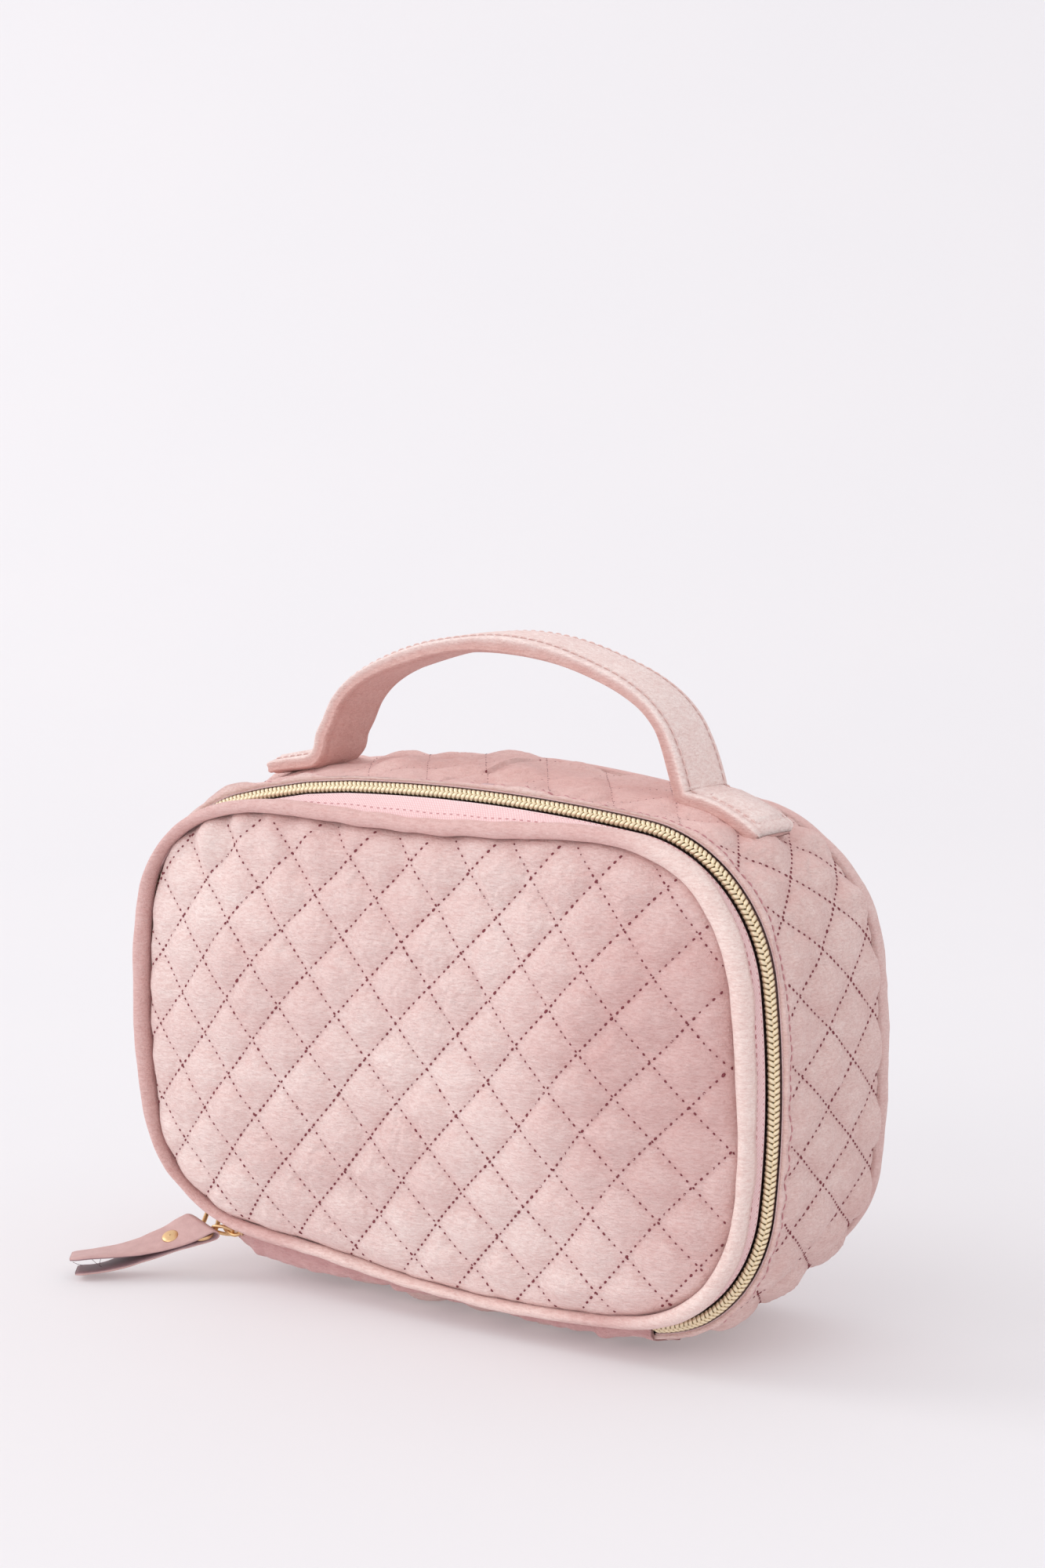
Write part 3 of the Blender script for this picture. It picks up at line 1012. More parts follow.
left = side_path(-1)
right = side_path(1)
half = [(x * float(lerp(z, [(150, 0.965), (172, 0.968), (186, 0.985), (193, 1.0)])), z) for x, z in half]
mid = [(HX + x, z) for x, z in half[2:]] + [(HX - x + 0.5, z) for x, z in half[-2:1:-1]]
path2 = spline(right + mid + left[::-1], 300)
Tn = np.gradient(path2, axis=0)
Tn /= np.linalg.norm(Tn, axis=1)[:, None]
Nn = np.stack([Tn[:, 1], -Tn[:, 0]], -1)  # outwards: right side of travel from right tab over the arch
dist = np.concatenate([[0], np.cumsum(np.linalg.norm(np.diff(path2, axis=0), axis=1))])
tot = dist[-1]
w2, t2 = 11.0, 2.3
ns = 44
aa = np.linspace(0, 2 * pi, ns, endpoint=False)
cw, sw = np.cos(aa), np.sin(aa)
prof_w = np.sign(cw) * np.abs(cw) ** 0.28
prof_t = np.sign(sw) * np.abs(sw) ** 0.42
# folded edges: a shallow slot between the two layers
slot_edge = 1 - 0.055 * np.exp(-((sw / 0.22) ** 2))
end_d = np.minimum(dist, tot - dist)
taper = np.clip(end_d / 1.6, 0, 1) ** 0.45
thin = 1 - 0.04 * smooth((21 - end_d) / 5)
wvar = 1 - 0.05 * smooth((24 - end_d) / 8) + 0.012 * n_mid(dist * 0.9, 60, 0)
puffy = 1 + 0.07 * n_mid(dist * 0.8, 66, 0)
Gs = np.zeros((len(path2), ns, 3))
crh = np.zeros((len(path2), ns))
tnh = np.zeros((len(path2), ns))
for k in range(ns):
    ww = w2 * prof_w[k] * slot_edge[k] * wvar
    edge_in = np.abs(prof_w[k]) * w2
    side_dip = 0.33 * math.exp(-(((edge_in - 8.6) / 0.8) ** 2)) + 0.33 * math.exp(-(((edge_in - 8.6) / 0.8) ** 2)) * 0
    pillow = 0.55 * (1 - (prof_w[k]) ** 2)
    tt = t2 * prof_t[k] * thin * puffy + np.sign(prof_t[k]) * (pillow - side_dip) * (np.abs(prof_t[k]) > 0.3)
    # the box-stitched patch stands proud inside its stitch line on the tabs
    box = smooth((end_d - 3.0) / 1.2) * smooth((19.0 - end_d) / 1.2) * (1 if edge_in < 7.2 else 0)
    tt = tt + (0.75 * box if prof_t[k] > 0.3 else 0)
    tt = tt * (0.25 + 0.75 * taper)
    ww = ww * (0.80 + 0.20 * taper)
    Gs[:, k, 0] = path2[:, 0] + Nn[:, 0] * tt * 1.0
    Gs[:, k, 2] = path2[:, 1] + Nn[:, 1] * tt * 1.0
    Gs[:, k, 1] = HY + ww
    tnh[:, k] = 1.0 if prof_t[k] < -0.25 else (0.5 if abs(prof_t[k]) <= 0.3 else 0.0)
    crh[:, k] = 0.8 * math.exp(-((sw[k] / 0.16) ** 2)) + 0.5 * math.exp(-(((edge_in - 8.6) / 0.7) ** 2)) * (abs(prof_t[k]) > 0.5)
if Nn[150, 1] < 0:
    print("HANDLE normal points down")
handle = grid("handle_velvet", Gs, wrap_m=True, caps=True, flip=True, attrs={"crease": np.clip(crh, 0, 1), "tone": tnh * 0.75})


def strap_point(d, w, lift):
    x = np.interp(d, dist, path2[:, 0])
    z = np.interp(d, dist, path2[:, 1])
    nx, nz = np.interp(d, dist, Nn[:, 0]), np.interp(d, dist, Nn[:, 1])
    th = t2 * np.interp(d, dist, thin * puffy) * (0.25 + 0.75 * np.interp(d, dist, taper))
    return np.stack([x + nx * (th + lift), HY + w + 0 * x, z + nz * (th + lift)], -1), np.stack([nx, 0 * x, nz], -1)


A_l, B_l, N_l = [], [], []
for w_ in (-8.6, 8.6):
    d0 = np.arange(22.0, tot - 24.0, 2.9)
    A_, N_ = strap_point(d0, w_, 0.08)
    B_, _ = strap_point(d0 + 2.2, w_, 0.08)
    A_l.append(A_)
    B_l.append(B_)
    N_l.append(N_)
handle_stitch = capsules("handle_edge_stitches", np.vstack(A_l), np.vstack(B_l), 0.22, np.vstack(N_l))
A_l, B_l, N_l = [], [], []
for flipd in (0, 1):
    def dd(v):
        return v if not flipd else tot - v

    for w_ in (-7.4, 7.4):
        for d_ in np.arange(3.2, 18.6, 2.6):
            a_, n_ = strap_point(np.array([dd(d_)]), w_, 0.22)
            b_, _ = strap_point(np.array([dd(d_ + 2.0)]), w_, 0.22)
            A_l.append(a_), B_l.append(b_), N_l.append(n_)
    for d_ in (3.0, 19.0):
        for w_ in np.arange(-7.2, 5.8, 2.6):
            a_, n_ = strap_point(np.array([dd(d_)]), w_, 0.22)
            b_, _ = strap_point(np.array([dd(d_)]), w_ + 2.0, 0.22)
            A_l.append(a_), B_l.append(b_), N_l.append(n_)
tab_stitch = capsules("handle_box_thread", np.vstack(A_l), np.vstack(B_l), 0.24, np.vstack(N_l))

# ------------------------------------------------------------------ zip pull
LINK = np.array([-77.4264, -36.3335, 9.276])
RING = np.array([-82.5119, -38.661, 8.9924])
PULL = np.array([-87.4158, -40.9053, 8.719])
LIFTED = np.array([2.2, 0.2, 4.6])  # the slumped corner carries the slider this much higher than the flat pattern


def unit(v):
    return v / np.linalg.norm(v)


Uv = np.array([-0.2876, 0.7071, -0.646])
Vv = np.array([-0.2876, -0.7071, -0.646])
LINKv = LINK + LIFTED
# the ring stands up off the link, the leather hangs from it
Dl = unit(np.array([-0.86, -0.42, 0.10]))
RINGv = LINKv + 4.6 * Dl
Dr = unit(np.array([-0.80, -0.36, 0.06]))
PULLv = RINGv + 4.5 * Dr
TIP = np.array([-112.6, -64.4, 3.9])
D0 = unit(TIP - PULLv)
Wg = np.array([0.50, -0.74, -0.46])
W0 = unit(Wg - (Wg @ D0) * D0)
M0 = np.cross(D0, W0)
LEN = float(np.linalg.norm(TIP - PULLv))


def leaf_point(t, m, w, roll=0.0):
    """Along the strap t, off its mid-plane m, across w, in space; the strap sags in the middle and rolls flatter to the tip."""
    k = np.clip(t / LEN, -0.1, 1.1)
    sag = -1.5 * np.sin(pi * np.clip(k, 0, 1)) + 0.0 * k
    ang = roll * smooth((k - 0.05) / 0.85)
    Wr = np.cos(ang)[..., None] * W0 + np.sin(ang)[..., None] * M0
    Mr = np.cos(ang)[..., None] * M0 - np.sin(ang)[..., None] * W0
    t = t - 0.62 * w * (1 - smooth(k / 0.75))  # the folded end lies slanted round the ring
    return PULLv + t[..., None] * D0 + sag[..., None] * np.array([0.0, 0.0, 1.0]) + m[..., None] * Mr + w[..., None] * Wr


leafA = [(0.0, 1.5), (2.5, 1.25), (7.0, 0.66), (12.0, 0.66), (19.0, 0.95), (27.0, 1.6), (34.0, 2.2), (LEN, 2.5)]
leafB = [(0.0, -1.5), (2.5, -1.25), (7.0, -0.66), (12.0, -0.66), (18.0, -1.3), (25.0, -2.2), (33.0, -2.5), (LEN - 0.4, -2.0)]
arc_a = np.linspace(pi / 2, 3 * pi / 2, 14)[1:-1]
fold_pts = [(1.5 * math.cos(t), 1.5 * math.sin(t)) for t in arc_a]
path = spline(leafA[::-1] + fold_pts + leafB, 260)
Tn2 = np.gradient(path, axis=0)
Tn2 /= np.linalg.norm(Tn2, axis=1)[:, None]
Nn2 = np.stack([-Tn2[:, 1], Tn2[:, 0]], -1)
dd2 = np.concatenate([[0], np.cumsum(np.linalg.norm(np.diff(path, axis=0), axis=1))])
sec_w, sec_t = 5.7, 0.62
SUEDE = 1.0
ns2 = 30
bb = np.linspace(0, 2 * pi, ns2, endpoint=False)
pw = np.sign(np.cos(bb)) * np.abs(np.cos(bb)) ** 0.22
ptk = np.sign(np.sin(bb)) * np.abs(np.sin(bb)) ** 0.55
Gl = np.zeros((len(path), ns2, 3))
lcr = np.zeros((len(path), ns2))
endt = np.minimum(dd2, dd2[-1] - dd2)
for k in range(ns2):
    wv = sec_w * pw[k] * (1 + 0.014 * n_small(dd2, 5, 0)) * (0.90 + 0.10 * smooth(endt / 2.6))
    tv = sec_t * ptk[k] * (0.7 + 0.3 * smooth(endt / 1.0)) * (1 + 0.10 * n_small(dd2 * 0.6, 3 * pw[k], 2))
    o2 = path + Nn2 * tv[:, None]
    Gl[:, k] = leaf_point(o2[:, 0], o2[:, 1], wv, 0.50)
    # the side that faces the other leaf is raw suede
    lcr[:, k] = 1.0 if ptk[k] * SUEDE > 0.35 else 0.0
leather = grid("pull_leather", Gl, wrap_m=True, caps=True, attrs={"suede": lcr})
# a few loose fibres between the leaves at the tip
fib = []
for t0, w0, dx_, dz_ in ((LEN - 8.5, 3.2, 2.4, 3.2), (LEN - 7.6, 1.2, -2.0, 3.6), (LEN - 2.0, -4.0, 2.6, 1.5)):
    k_ = np.linspace(0, 1, 12)
    c_ = leaf_point(np.full(12, t0) + dx_ * k_, -1.5 + dz_ * k_, np.full(12, w0) + 0.8 * np.sin(3 * k_), 0.50)
    fib.append(c_)
Mv = M0
Dv = D0
Wv = W0


def disc_stack(name, c, n, x_dir, prof, sides=40):
    """Turned piece: prof is a list of (radius, height)."""
    n = n / np.linalg.norm(n)
    x_dir = x_dir - (x_dir @ n) * n
    x_dir /= np.linalg.norm(x_dir)
    y_dir = np.cross(n, x_dir)
    a = np.linspace(0, 2 * pi, sides, endpoint=False)
    G_ = np.array([[c + n * h + r * (math.cos(t) * x_dir + math.sin(t) * y_dir) for t in a] for r, h in prof])
    return grid(name, G_, wrap_m=True, caps=True, flip=True)


riv = leaf_point(np.array([9.2]), np.array([0.0]), np.array([0.3]), 0.50)[0]
rivet_f = disc_stack("rivet_dome", riv, Mv, Dv, [(0.2, 1.2), (2.45, 1.22), (2.6, 1.36), (2.55, 1.52), (2.2, 1.68), (1.6, 1.78), (0.9, 1.83), (0.2, 1.84)])
rivet_b = disc_stack("rivet_back", riv, -Mv, Dv, [(0.2, 1.2), (2.6, 1.22), (2.7, 1.35), (2.6, 1.6), (2.0, 1.75), (0.9, 1.6), (0.2, 1.55)])


def wire(name, pts, r, n=160, sides=12):
    """Closed round wire through rounded corner points (3-D)."""
    P_ = np.array(pts, float)
    k = len(P_)
    out = []
    for i_ in range(k):
        p0, p1, p2, p3 = P_[i_ - 1], P_[i_], P_[(i_ + 1) % k], P_[(i_ + 2) % k]
        t = np.linspace(0, 1, 20, endpoint=False)[:, None]
        out.append(0.5 * (2 * p1 + (p2 - p0) * t + (2 * p0 - 5 * p1 + 4 * p2 - p3) * t**2 + (3 * p1 - p0 - 3 * p2 + p3) * t**3))
    o = np.vstack(out)
    d = np.concatenate([[0], np.cumsum(np.linalg.norm(np.diff(np.vstack([o, o[:1]]), axis=0), axis=1))])
    t = np.linspace(0, d[-1], n, endpoint=False)
    oo = np.vstack([o, o[:1]])
    P3 = np.stack([np.interp(t, d, oo[:, c]) for c in range(3)], -1)
    nrm = np.cross(P_[1] - P_[0], P_[2] - P_[1])
    return tube(name, P3, r, sides=sides, closed=True, up=nrm / np.linalg.norm(nrm))


# D ring: straight side through the leather fold, curved end through the link
Mr_ = unit(np.cross(Dr, W0))
Wr_ = unit(W0 - (W0 @ Dr) * Dr)
ring_pts = [RINGv + a_ * Dr + b_ * Wr_ for a_, b_ in [(-0.3, 0), (0.0, 2.0), (0.9, 4.0), (2.4, 5.0), (3.4, 5.2), (4.2, 4.6), (4.3, 2.6), (4.2, 0), (4.3, -3.6), (4.4, -7.6), (3.6, -8.6), (2.2, -8.1), (0.7, -6.0), (-0.1, -3.0)]]
ring_w = wire("pull_ring_wire", ring_pts, 0.72)
link_n = unit(np.cross(Dl, Uv))
Ul = unit(Uv - (Uv @ Dl) * Dl)
link_pts = [LINKv + a_ * Dl + b_ * Ul for a_, b_ in [(-1.0, 0), (-0.6, 1.7), (1.0, 2.5), (3.0, 2.4), (4.7, 1.5), (5.3, 0), (4.7, -1.5), (3.0, -2.4), (1.0, -2.5), (-0.6, -1.7)]]
link_w = wire("puller_link_wire", link_pts, 0.55)
# slider: a shield of two cheeks over the chain, with a bridge for the link
t24 = math.radians(24)
Tv = np.array([-math.cos(t24), 0, math.sin(t24)])
SC = np.array([-76.4773, -34.0, 11.4077]) + np.array([2.0, 0.3, 4.4])


def cheek(name, v0, v1):
    n_ = 26
    sx = np.linspace(-4.6, 4.6, n_)
    half_ = 2.1 + 1.0 * smooth((sx + 3.2) / 3.0) - 0.5 * smooth((sx - 2.6) / 2.0)
    end_ = np.clip((4.6 - np.abs(sx)) / 0.7, 0, 1) ** 0.5
    half_ = half_ * (0.72 + 0.28 * end_)
    a_ = np.linspace(0, 2 * pi, 20, endpoint=False)
    cu = np.sign(np.cos(a_)) * np.abs(np.cos(a_)) ** 0.35
    cv = np.sign(np.sin(a_)) * np.abs(np.sin(a_)) ** 0.45
    vm, vh = (v0 + v1) / 2, (v1 - v0) / 2
    G_ = SC + sx[:, None, None] * Tv + (half_[:, None] * cu[None])[..., None] * Uv + (vm + vh * cv[None, :] * (0.6 + 0.4 * end_[:, None]))[..., None] * Vv
    return grid(name, G_, wrap_m=True, caps=True)


slider_top = cheek("slider_top_plate", 1.05, 2.0)
slider_low = cheek("slider_under_plate", -1.9, -1.05)
k_ = np.linspace(0, pi, 24)
bridge = tube("slider_bridge", SC + np.cos(k_)[:, None] * 2.9 * Tv + (1.7 + 1.9 * np.sin(k_) ** 0.8)[:, None] * Vv, 0.62, sides=10, up=Uv)
post_ = tube("slider_post", SC + np.linspace(-1.3, 1.3, 8)[:, None] * Vv + 3.2 * Tv, 0.75, sides=10, up=Uv)

# ------------------------------------------------------------------ linings and inner binding
NL = 360
ul = np.arange(NL) * ZL.per / NL
ptl, nl = ZL.at(ul)


def dish(name, A_, B_, flip):
    P_ = np.concatenate([A_[::-1], B_], 0)
    n_r_, m_ = P_.shape[:2]
    V_ = np.concatenate([P_.reshape(-1, 3), P_[0].mean(0)[None], P_[-1].mean(0)[None]])
    i_ = np.arange(m_)
    j_ = (i_ + 1) % m_
    t_ = np.vstack([np.stack([np.full(m_, n_r_ * m_), i_, j_], -1), np.stack([np.full(m_, n_r_ * m_ + 1), (n_r_ - 1) * m_ + j_, (n_r_ - 1) * m_ + i_], -1)])
    q_ = quads_of(n_r_, m_, False, True, flip=True)
    if flip:
        t_, q_ = t_[:, ::-1], q_[:, ::-1]
    return make(name, V_, q_, t_)


def lining_body_rows(ds, dy):
    rows_ = []
    for s_, y_ in ((-0.75, -29.2), (-1.2, -28.5), (-1.3, -22), (-1.3, -12), (-1.3, -2), (-1.3, 8), (-1.3, 17), (-1.7, 22), (-3.0, 25), (-6.0, 27.4), (-10.0, 29.2)):
        s2 = s_ - ds + 0.35 * n_mid(ul, 80, y_) * smooth((y_ + 27) / 8)
        rows_.append(np.stack([ptl[:, 0] + nl[:, 0] * s2, np.full(NL, y_ - dy), ptl[:, 1] + nl[:, 1] * s2], -1))
    e_ = rows_[-1][:, [0, 2]]
    for t in np.linspace(0.08, 0.97, 16):
        xz = cc + (e_ - cc) * (1 - t)
        rows_.append(np.stack([xz[:, 0], 29.6 + 2.0 * min(t * 4, 1) - dy + 0.5 * n_mid(xz[:, 0], 90, xz[:, 1]), xz[:, 1]], -1))
    return warp_body(np.stack(rows_, 0))


lin_body = dish("body_lining_cloth", lining_body_rows(0, 0), lining_body_rows(0.5, 0.5), True)
_e, _m = PE.at(np.arange(NL)[::-1] / NL)
PE_IN = _e - _m * 1.0


def lining_lid_rows(dy):
    rows_ = []
    e_ = PE_IN
    for t in np.concatenate([[0, 0.01, 0.03], np.linspace(0.07, 0.97, 22)]):
        xz = LC + (e_ - LC) * (1 - t)
        d = np.clip(PE.inside(xz[:, 0], xz[:, 1]) - 1.0, 0, None)
        y_ = -35.6 - 7.4 * (1 - (1 - np.clip(d / 60, 0, 1)) ** 1.7) + 0.35 * n_mid(xz[:, 0], 70, xz[:, 1]) * smooth(d / 6) - dy
        rows_.append(np.stack([xz[:, 0], y_, xz[:, 1]], -1))
    return np.stack(rows_, 0)


lin_lid = dish("lid_lining_cloth", lining_lid_rows(0), lining_lid_rows(0.5), False)


def band(name, P_, N_, s_, y_, hw_s, hw_y, warp):
    """Flattened binding along a loop."""
    a_ = np.linspace(0, 2 * pi, 12, endpoint=False)
    ss = s_ + hw_s * np.sign(np.cos(a_)) * np.abs(np.cos(a_)) ** 0.6
    yy_ = y_ + hw_y * np.sign(np.sin(a_)) * np.abs(np.sin(a_)) ** 0.6
    X_ = P_[:, None, 0] + N_[:, None, 0] * ss[None]
    Z_ = P_[:, None, 1] + N_[:, None, 1] * ss[None]
    Y_ = np.broadcast_to(yy_[None], X_.shape) + 0.1 * n_small(P_[:, 0], 1, P_[:, 1])[:, None]
    G_ = np.stack([X_, Y_, Z_], -1)
    return grid(name, warp_body(G_) if warp else G_, wrap_n=True, wrap_m=True, flip=not warp)


bind_lid = band("lid_inner_binding", *PE.at(np.arange(420) / 420), -1.6, -35.2, 2.0, 0.45, False)
bind_back = band("back_inner_binding", *ZL.at(np.arange(420) * ZL.per / 420), -2.5, 22.6, 0.4, 2.6, True)


# ------------------------------------------------------------------ materials
def lin(r, g, b):
    f = lambda c: (c / 255) / 12.92 if c / 255 <= 0.04045 else ((c / 255 + 0.055) / 1.055) ** 2.4
    return (f(r), f(g), f(b), 1)


class Mat:
    def __init__(self, name):
        self.m = bpy.data.materials.new(name)
        self.m.use_nodes = True
        self.t = self.m.node_tree
        self.b = self.t.nodes["Principled BSDF"]

    def n(self, kind, **kw):
        node = self.t.nodes.new(kind)
        for k, v in kw.items():
            if k.startswith("i_"):
                key = k[2:].replace("_", " ")
                node.inputs[key].default_value = v
            else:
                setattr(node, k, v)
        return node

    def link(self, a, b):
        self.t.links.new(a, b)

    def math(self, op, a, b=None, clamp=False):
        nd = self.t.nodes.new("ShaderNodeMath")
        nd.operation = op
        nd.use_clamp = clamp
        for k, v in enumerate((a, b)):
            if v is None:
                continue
            if isinstance(v, (int, float)):
                nd.inputs[k].default_value = v
            else:
                self.link(v, nd.inputs[k])
        return nd.outputs[0]

    def mix(self, fac, a, b, mode="MIX"):
        nd = self.t.nodes.new("ShaderNodeMix")
        nd.data_type = "RGBA"
        nd.blend_type = mode
        if isinstance(fac, (int, float)):
            nd.inputs[0].default_value = fac
        else:
            self.link(fac, nd.inputs[0])
        for k, v in ((6, a), (7, b)):
            if isinstance(v, tuple):
                nd.inputs[k].default_value = v
            else:
                self.link(v, nd.inputs[k])
        return nd.outputs[2]

    def coords(self, scale=(1, 1, 1), rot=(0, 0, 0), uv=False):
        tc = self.n("ShaderNodeTexCoord")
        mp = self.n("ShaderNodeMapping")
        mp.inputs["Scale"].default_value = scale
        mp.inputs["Rotation"].default_value = rot
        self.link(tc.outputs["UV" if uv else "Object"], mp.inputs["Vector"])
        return mp.outputs[0]

    def noise(self, scale, detail=3, rough=0.55, vec=None, dist=0.0):
        nd = self.n("ShaderNodeTexNoise")
        nd.inputs["Scale"].default_value = scale
        nd.inputs["Detail"].default_value = detail
        nd.inputs["Roughness"].default_value = rough
        nd.inputs["Distortion"].default_value = dist
        self.link(vec if vec is not None else self.coords(), nd.inputs["Vector"])
        return nd.outputs["Fac"]

    def ramp(self, fac, stops):
        nd = self.n("ShaderNodeValToRGB")
        el = nd.color_ramp.elements
        while len(el) < len(stops):
            el.new(0.5)
        for e_, (pos, col) in zip(el, stops):
            e_.position = pos
            e_.color = col if isinstance(col, tuple) else (col, col, col, 1)
        self.link(fac, nd.inputs[0])
        return nd.outputs[0]

    def bump(self, h, strength, distance, normal=None):
        nd = self.n("ShaderNodeBump")
        nd.inputs["Strength"].default_value = strength
        nd.inputs["Distance"].default_value = distance
        self.link(h, nd.inputs["Height"])
        if normal is not None:
            self.link(normal, nd.inputs["Normal"])
        return nd.outputs[0]

    def attr(self, name):
        nd = self.n("ShaderNodeAttribute")
        nd.attribute_name = name
        return nd.outputs["Fac"]


def velvet(name, light, deep, crease_col, crease_amt=0.55, top=0.0, tone_col=(0.80, 0.66, 0.66, 1)):
    m = Mat(name)
    co = m.coords(scale=(1, 1, 1))
    big = m.noise(16, 2, 0.5, co, 0.4)
    mott = m.noise(95, 4, 0.62, co, 0.6)
    brush = m.noise(60, 3, 0.6, m.coords(scale=(1.0, 1.0, 4.0), rot=(0.2, 0.0, 0.35)), 0.3)
    fine = m.noise(1500, 2, 0.7, co)
    grain = m.noise(820, 3, 0.8, m.coords(scale=(0.55, 0.8, 2.3), rot=(0.0, 0.16, 0.0)), 0.25)
    nap = m.math("ADD", m.math("MULTIPLY", mott, 0.55), m.math("ADD", m.math("MULTIPLY", brush, 0.45), m.math("MULTIPLY", big, 0.35)))
    col = m.mix(m.ramp(nap, [(0.44, 0.0), (0.90, 1.0)]), light, deep)
    g = m.ramp(grain, [(0.34, lin(206, 160, 154)), (0.60, (1, 1, 1, 1))])
    col = m.mix(0.36, col, g, "MULTIPLY")
    col = m.mix(m.attr("tone"), col, tone_col, "MULTIPLY")
    cr = m.math("MULTIPLY", m.attr("crease"), crease_amt)
    col = m.mix(cr, col, crease_col)
    if top:
        geo = m.n("ShaderNodeNewGeometry")
        sep = m.n("ShaderNodeSeparateXYZ")
        m.link(geo.outputs["Normal"], sep.inputs[0])
        up = m.ramp(sep.outputs[2], [(0.55, 0.0), (0.97, 1.0)])
        col = m.mix(m.math("MULTIPLY", up, top), col, lin(230, 176, 170))
    m.link(col, m.b.inputs["Base Color"])
    m.b.inputs["Roughness"].default_value = 0.88
    m.b.inputs["Specular IOR Level"].default_value = 0.18
    m.b.inputs["Sheen Weight"].default_value = 0.55
    m.b.inputs["Sheen Roughness"].default_value = 0.38
    m.b.inputs["Sheen Tint"].default_value = lin(255, 226, 222)
    h = m.math("ADD", m.math("MULTIPLY", fine, 0.5), m.math("ADD", m.math("MULTIPLY", grain, 0.8), m.math("MULTIPLY", mott, 1.4)))
    m.link(m.bump(h, 0.75, 0.0008), m.b.inputs["Normal"])
    return m.m


VEL_L, VEL_D, VEL_C = lin(247, 227, 222), lin(231, 199, 194), lin(196, 138, 138)
m_velvet = velvet("velvet_pink", lin(251, 235, 230), lin(243, 216, 211), VEL_C, 0.16)
m_gusset = velvet("velvet_gusset", lin(243, 220, 214), lin(226, 190, 184), VEL_C, 0.16, top=0.40)
m_piping = velvet("velvet_piping", lin(254, 236, 229), lin(248, 222, 215), VEL_C, 0.45, tone_col=(0.81, 0.67, 0.68, 1))
m_handle = velvet("velvet_handle", lin(254, 241, 236), lin(245, 221, 215), lin(196, 138, 130), 0.5, tone_col=(0.70, 0.46, 0.43, 1))
m_hinge = velvet("velvet_hinge", lin(230, 190, 188), lin(204, 156, 156), VEL_C, 0.4)


def flat(name, col, rough=0.8, noise_scale=500, var=0.25, metallic=0.0, bump=0.3, bump_d=0.0001, sheen=0.0, spec=0.3):
    m = Mat(name)
    nz = m.noise(noise_scale, 3, 0.6)
    big = m.noise(noise_scale / 12, 2, 0.5)
    dark = tuple(c * (1 - var) for c in col[:3]) + (1,)
    c = m.mix(m.math("ADD", m.math("MULTIPLY", nz, 0.6), m.math("MULTIPLY", big, 0.4)), col, dark)
    m.link(c, m.b.inputs["Base Color"])
    m.b.inputs["Roughness"].default_value = rough
    m.b.inputs["Metallic"].default_value = metallic
    m.b.inputs["Specular IOR Level"].default_value = spec
    m.b.inputs["Sheen Weight"].default_value = sheen
    m.link(m.bump(nz, bump, bump_d), m.b.inputs["Normal"])
    return m.m


def woven(name, col, dark, pitch_u, pitch_v, bump=0.6, twill=0.5, rough=0.75):
    """Weave from the strip's own UV, in mm."""
    m = Mat(name)
    tc = m.n("ShaderNodeTexCoord")
    sep = m.n("ShaderNodeSeparateXYZ")
    m.link(tc.outputs["UV"], sep.inputs[0])
    u_, v_ = sep.outputs[0], sep.outputs[1]
    a_ = m.math("SINE", m.math("MULTIPLY", m.math("ADD", u_, m.math("MULTIPLY", v_, twill)), 2 * pi / pitch_u))
    b_ = m.math("SINE", m.math("MULTIPLY", v_, 2 * pi / pitch_v))
    h = m.math("MULTIPLY", m.math("ADD", m.math("MULTIPLY", a_, 0.5), 0.5), m.math("ADD", m.math("MULTIPLY", b_, 0.35), 0.65))
    nz = m.noise(900, 3, 0.6)
    f = m.math("ADD", m.math("MULTIPLY", h, 0.7), m.math("MULTIPLY", nz, 0.4))
    c = m.mix(m.ramp(f, [(0.2, 0.0), (0.85, 1.0)]), dark, col)
    m.link(c, m.b.inputs["Base Color"])
    m.b.inputs["Roughness"].default_value = rough
    m.b.inputs["Sheen Weight"].default_value = 0.15
    m.link(m.bump(f, bump, 0.0002), m.b.inputs["Normal"])
    return m.m


def object_weave(name, col, dark, scale):
    m = Mat(name)
    co = m.coords()
    sep = m.n("ShaderNodeSeparateXYZ")
    m.link(co, sep.inputs[0])
    k = 2 * pi / scale
    a_ = m.math("SINE", m.math("MULTIPLY", m.math("ADD", sep.outputs[0], sep.outputs[1]), k))
    b_ = m.math("SINE", m.math("MULTIPLY", m.math("ADD", sep.outputs[2], sep.outputs[1]), k))
    h = m.math("ADD", m.math("MULTIPLY", m.math("MULTIPLY", a_, b_), 0.5), 0.5)
    nz = m.noise(60, 3, 0.6)
    f = m.math("ADD", m.math("MULTIPLY", h, 0.5), m.math("MULTIPLY", nz, 0.5))
    c = m.mix(f, dark, col)
    m.link(c, m.b.inputs["Base Color"])
    m.b.inputs["Roughness"].default_value = 0.7
    m.b.inputs["Sheen Weight"].default_value = 0.1
    m.link(m.bump(h, 0.4, 0.00012), m.b.inputs["Normal"])
    return m.m


m_hole = flat("needle_hole", lin(142, 78, 84), 0.95, 900, 0.3, spec=0.05)
m_fibre = flat("suede_fibre", lin(120, 92, 100), 0.8, 2500, 0.3)
m_thread = flat("thread_rose", lin(214, 152, 156), 0.6, 2500, 0.3, bump=0.5, sheen=0.2)
m_thread_l = flat("thread_light", lin(240, 208, 202), 0.6, 2500, 0.25, bump=0.5, sheen=0.2)
m_tape = woven("zip_tape_twill", lin(250, 225, 225), lin(235, 194, 195), 0.9, 0.8, 0.7, 0.6)
m_lining = object_weave("lining_weave", lin(226, 196, 194), lin(204, 168, 168), 0.0011)
m_binding = object_weave("binding_rib", lin(214, 170, 176), lin(184, 134, 142), 0.0016)


